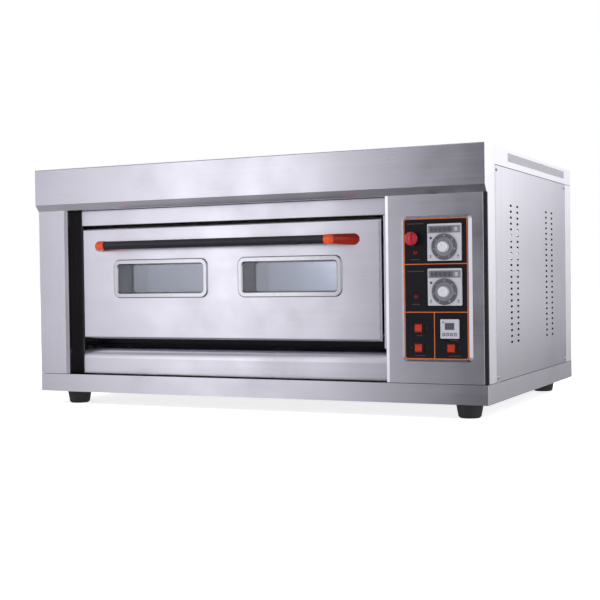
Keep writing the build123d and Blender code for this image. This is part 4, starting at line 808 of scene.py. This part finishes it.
# ---- Camera, floor and light ----
CAMERA_PLACE = (1.4457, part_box("left_column")[0].y - 2.6775, 0.339)
CAMERA_YAW = 25.61
CAMERA_PITCH = -1.0
CAMERA_ROLL = -0.776
CAMERA_LENS = 70.66
CAMERA_SENSOR = 36.0
FLOOR_HALF = 30.0
FLOOR_COLOR = (0.92, 0.92, 0.92, 1.0)
FLOOR_ROUGHNESS = 0.9
FLOOR_GLOW = 0.75
# The softboxes outside: name, place, target, size, power.
SOFTBOXES = (
    ("key_softbox", (-2.4, -4.0, 4.4), (0, 0, 0.3), (2.0, 2.0), 80),
    ("fill_softbox", (3.4, 1.0, 4.6), (0, 0, 0.2), (2.5, 2.5), 60),
)
# The chamber's lamp, measured from the liner's front, roof, middle and floor.
LAMP_IN = 160 * MM
LAMP_DOWN = 45 * MM
LAMP_AIM_LEFT = 250 * MM
LAMP_AIM_UP = 60 * MM
LAMP_SIZE = (0.50, 0.04)
LAMP_POWER = 3.8


def add_camera():
    """A camera at the photograph's angle."""
    data = bpy.data.cameras.new("camera")
    data.lens = CAMERA_LENS
    data.sensor_width = CAMERA_SENSOR
    camera = placed("camera", data)
    turn = Matrix.Rotation(math.radians(CAMERA_YAW), 4, "Z")
    tilt = Matrix.Rotation(math.radians(90 + CAMERA_PITCH), 4, "X")
    roll = Matrix.Rotation(math.radians(CAMERA_ROLL), 4, "Z")
    camera.matrix_world = Matrix.Translation(CAMERA_PLACE) @ turn @ tilt @ roll
    bpy.context.scene.camera = camera


def add_floor():
    """A wide pale floor."""
    corners = ((-1, -1), (1, -1), (1, 1), (-1, 1))
    bm = bmesh.new()
    bm.faces.new([bm.verts.new((x * FLOOR_HALF, y * FLOOR_HALF, 0)) for x, y in corners])
    mesh = bpy.data.meshes.new("floor")
    bm.to_mesh(mesh)
    bm.free()
    mat, _, shader, _ = new_material("pale_floor")
    shader.inputs["Base Color"].default_value = FLOOR_COLOR
    shader.inputs["Roughness"].default_value = FLOOR_ROUGHNESS
    shader.inputs["Emission Color"].default_value = WHITE
    shader.inputs["Emission Strength"].default_value = FLOOR_GLOW
    mesh.materials.append(mat)
    floor = placed("floor", mesh)
    floor.visible_glossy = False


def add_light(name, place, target, size, power, in_reflections=False):
    """A rectangular softbox at a place, aimed at a target."""
    data = bpy.data.lights.new(name, "AREA")
    data.shape = "RECTANGLE"
    data.size, data.size_y = size
    data.energy = power
    light = placed(name, data)
    light.location = place
    light.visible_glossy = in_reflections
    aim = Vector(target) - Vector(place)
    light.rotation_euler = aim.to_track_quat("-Z", "Y").to_euler()


# The surroundings' brightness is the product of two ramps. A ramp's colours end at 1, so its
# stops are stored as shares of this peak.
RAMP_PEAK = 2.0
# Brightness by bearing, in degrees to the left of straight ahead of the oven's front.
ALL_ROUND = (
    (-180, 0.25), (-172, 0.32), (-167, 0.60), (-164, 1.05), (-158, 1.3), (-145, 1.2),
    (-120, 0.9), (-64, 1.2), (-35, 0.7), (-12, 0.25), (-7, 1.2), (-3, 1.2), (3, 0.06),
    (16, 0.02), (18.5, 0.06), (21, 0.28), (23, 0.62), (24.3, 1.35), (25.6, 2.0), (28.5, 2.0),
    (31, 2.0), (33, 1.65), (35.5, 0.95), (38, 0.56), (46, 0.5), (62, 2.0), (80, 0.8),
    (95, 0.15), (115, 0.18), (140, 0.8), (165, 0.55), (180, 0.25),
)
# Brightness by the upward part of the direction, before and behind the oven.
FRONT_HEIGHTS = (
    (-1.0, 0.02), (-0.94, 0.04), (-0.88, 0.26), (-0.78, 0.38), (-0.5, 0.36), (-0.2, 0.55),
    (-0.09, 0.80), (0.0, 1.0), (0.12, 1.03), (0.3, 0.92), (0.6, 0.62), (1.0, 0.45),
)
BACK_HEIGHTS = (
    (-1.0, 0.15), (-0.3, 0.28), (-0.10, 0.48), (0.0, 0.90), (0.10, 1.30), (0.35, 1.45),
    (0.7, 0.8), (1.0, 0.5),
)
# The backward part of the direction over which the front's heights give way to the back's.
FRONT_UNTIL, BACK_FROM = -0.1, 0.4
SHADE_TINT = (0.84, 0.87, 1.0)
LIGHT_TINT = (1.0, 0.99, 1.0)


def ramp_of(tree, value, low, high, stops):
    """A brightness by a value: stops of (value, brightness) between two ends."""
    spread = tree.nodes.new("ShaderNodeMapRange")
    spread.inputs["From Min"].default_value = low
    spread.inputs["From Max"].default_value = high
    tree.links.new(value, spread.inputs["Value"])
    ramp = tree.nodes.new("ShaderNodeValToRGB")
    ramp.color_ramp.interpolation = "EASE"
    elements = ramp.color_ramp.elements
    while len(elements) < len(stops):
        elements.new(0.5)
    for element, (place, level) in zip(elements, stops):
        share = level / RAMP_PEAK
        element.position = (place - low) / (high - low)
        element.color = (share, share, share, 1)
    tree.links.new(spread.outputs["Result"], ramp.inputs["Fac"])
    return math_node(tree, "MULTIPLY", ramp.outputs["Color"], RAMP_PEAK)


def add_world():
    """Studio surroundings: bright and dark screens round the oven, white to the camera."""
    world = bpy.data.worlds.new("studio")
    bpy.context.scene.world = world
    world.use_nodes = True
    tree = world.node_tree
    background = tree.nodes["Background"]
    coords = tree.nodes.new("ShaderNodeTexCoord")
    split = tree.nodes.new("ShaderNodeSeparateXYZ")
    tree.links.new(coords.outputs["Generated"], split.inputs["Vector"])
    x, y, z = (split.outputs[axis] for axis in "XYZ")
    left = math_node(tree, "MULTIPLY", x, -1.0)
    ahead = math_node(tree, "MULTIPLY", y, -1.0)
    bearing = math_node(tree, "DEGREES", math_node(tree, "ARCTAN2", left, ahead))
    around = ramp_of(tree, bearing, -180.0, 180.0, ALL_ROUND)
    front = math_node(tree, "MULTIPLY", around, ramp_of(tree, z, -1.0, 1.0, FRONT_HEIGHTS))
    back = math_node(tree, "MULTIPLY", around, ramp_of(tree, z, -1.0, 1.0, BACK_HEIGHTS))
    share = tree.nodes.new("ShaderNodeMapRange")
    share.interpolation_type = "SMOOTHSTEP"
    share.inputs["From Min"].default_value = FRONT_UNTIL
    share.inputs["From Max"].default_value = BACK_FROM
    tree.links.new(y, share.inputs["Value"])
    blend = tree.nodes.new("ShaderNodeMix")
    tree.links.new(share.outputs["Result"], blend.inputs["Factor"])
    tree.links.new(front, blend.inputs["A"])
    tree.links.new(back, blend.inputs["B"])
    tree.links.new(blend.outputs["Result"], background.inputs["Strength"])
    tint = blended(tree, around, SHADE_TINT, LIGHT_TINT)
    tree.links.new(tint, background.inputs["Color"])
    white = tree.nodes.new("ShaderNodeBackground")
    white.inputs["Color"].default_value = WHITE
    white.inputs["Strength"].default_value = 1.0
    path = tree.nodes.new("ShaderNodeLightPath")
    mix = tree.nodes.new("ShaderNodeMixShader")
    tree.links.new(path.outputs["Is Camera Ray"], mix.inputs["Fac"])
    tree.links.new(background.outputs["Background"], mix.inputs[1])
    tree.links.new(white.outputs["Background"], mix.inputs[2])
    tree.links.new(mix.outputs["Shader"], tree.nodes["World Output"].inputs["Surface"])


def add_chamber_light():
    """A long lamp under the chamber's roof, aimed at the rear wall's left half."""
    low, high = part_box("chamber_liner")
    x = (low.x + high.x) / 2
    place = (x, low.y + LAMP_IN, high.z - LAMP_DOWN)
    target = (x - LAMP_AIM_LEFT, high.y, low.z + LAMP_AIM_UP)
    add_light("chamber_light", place, target, LAMP_SIZE, LAMP_POWER, in_reflections=True)


add_camera()
add_floor()
add_world()
for softbox in SOFTBOXES:
    add_light(*softbox)
add_chamber_light()
bpy.context.scene.view_settings.view_transform = "Standard"
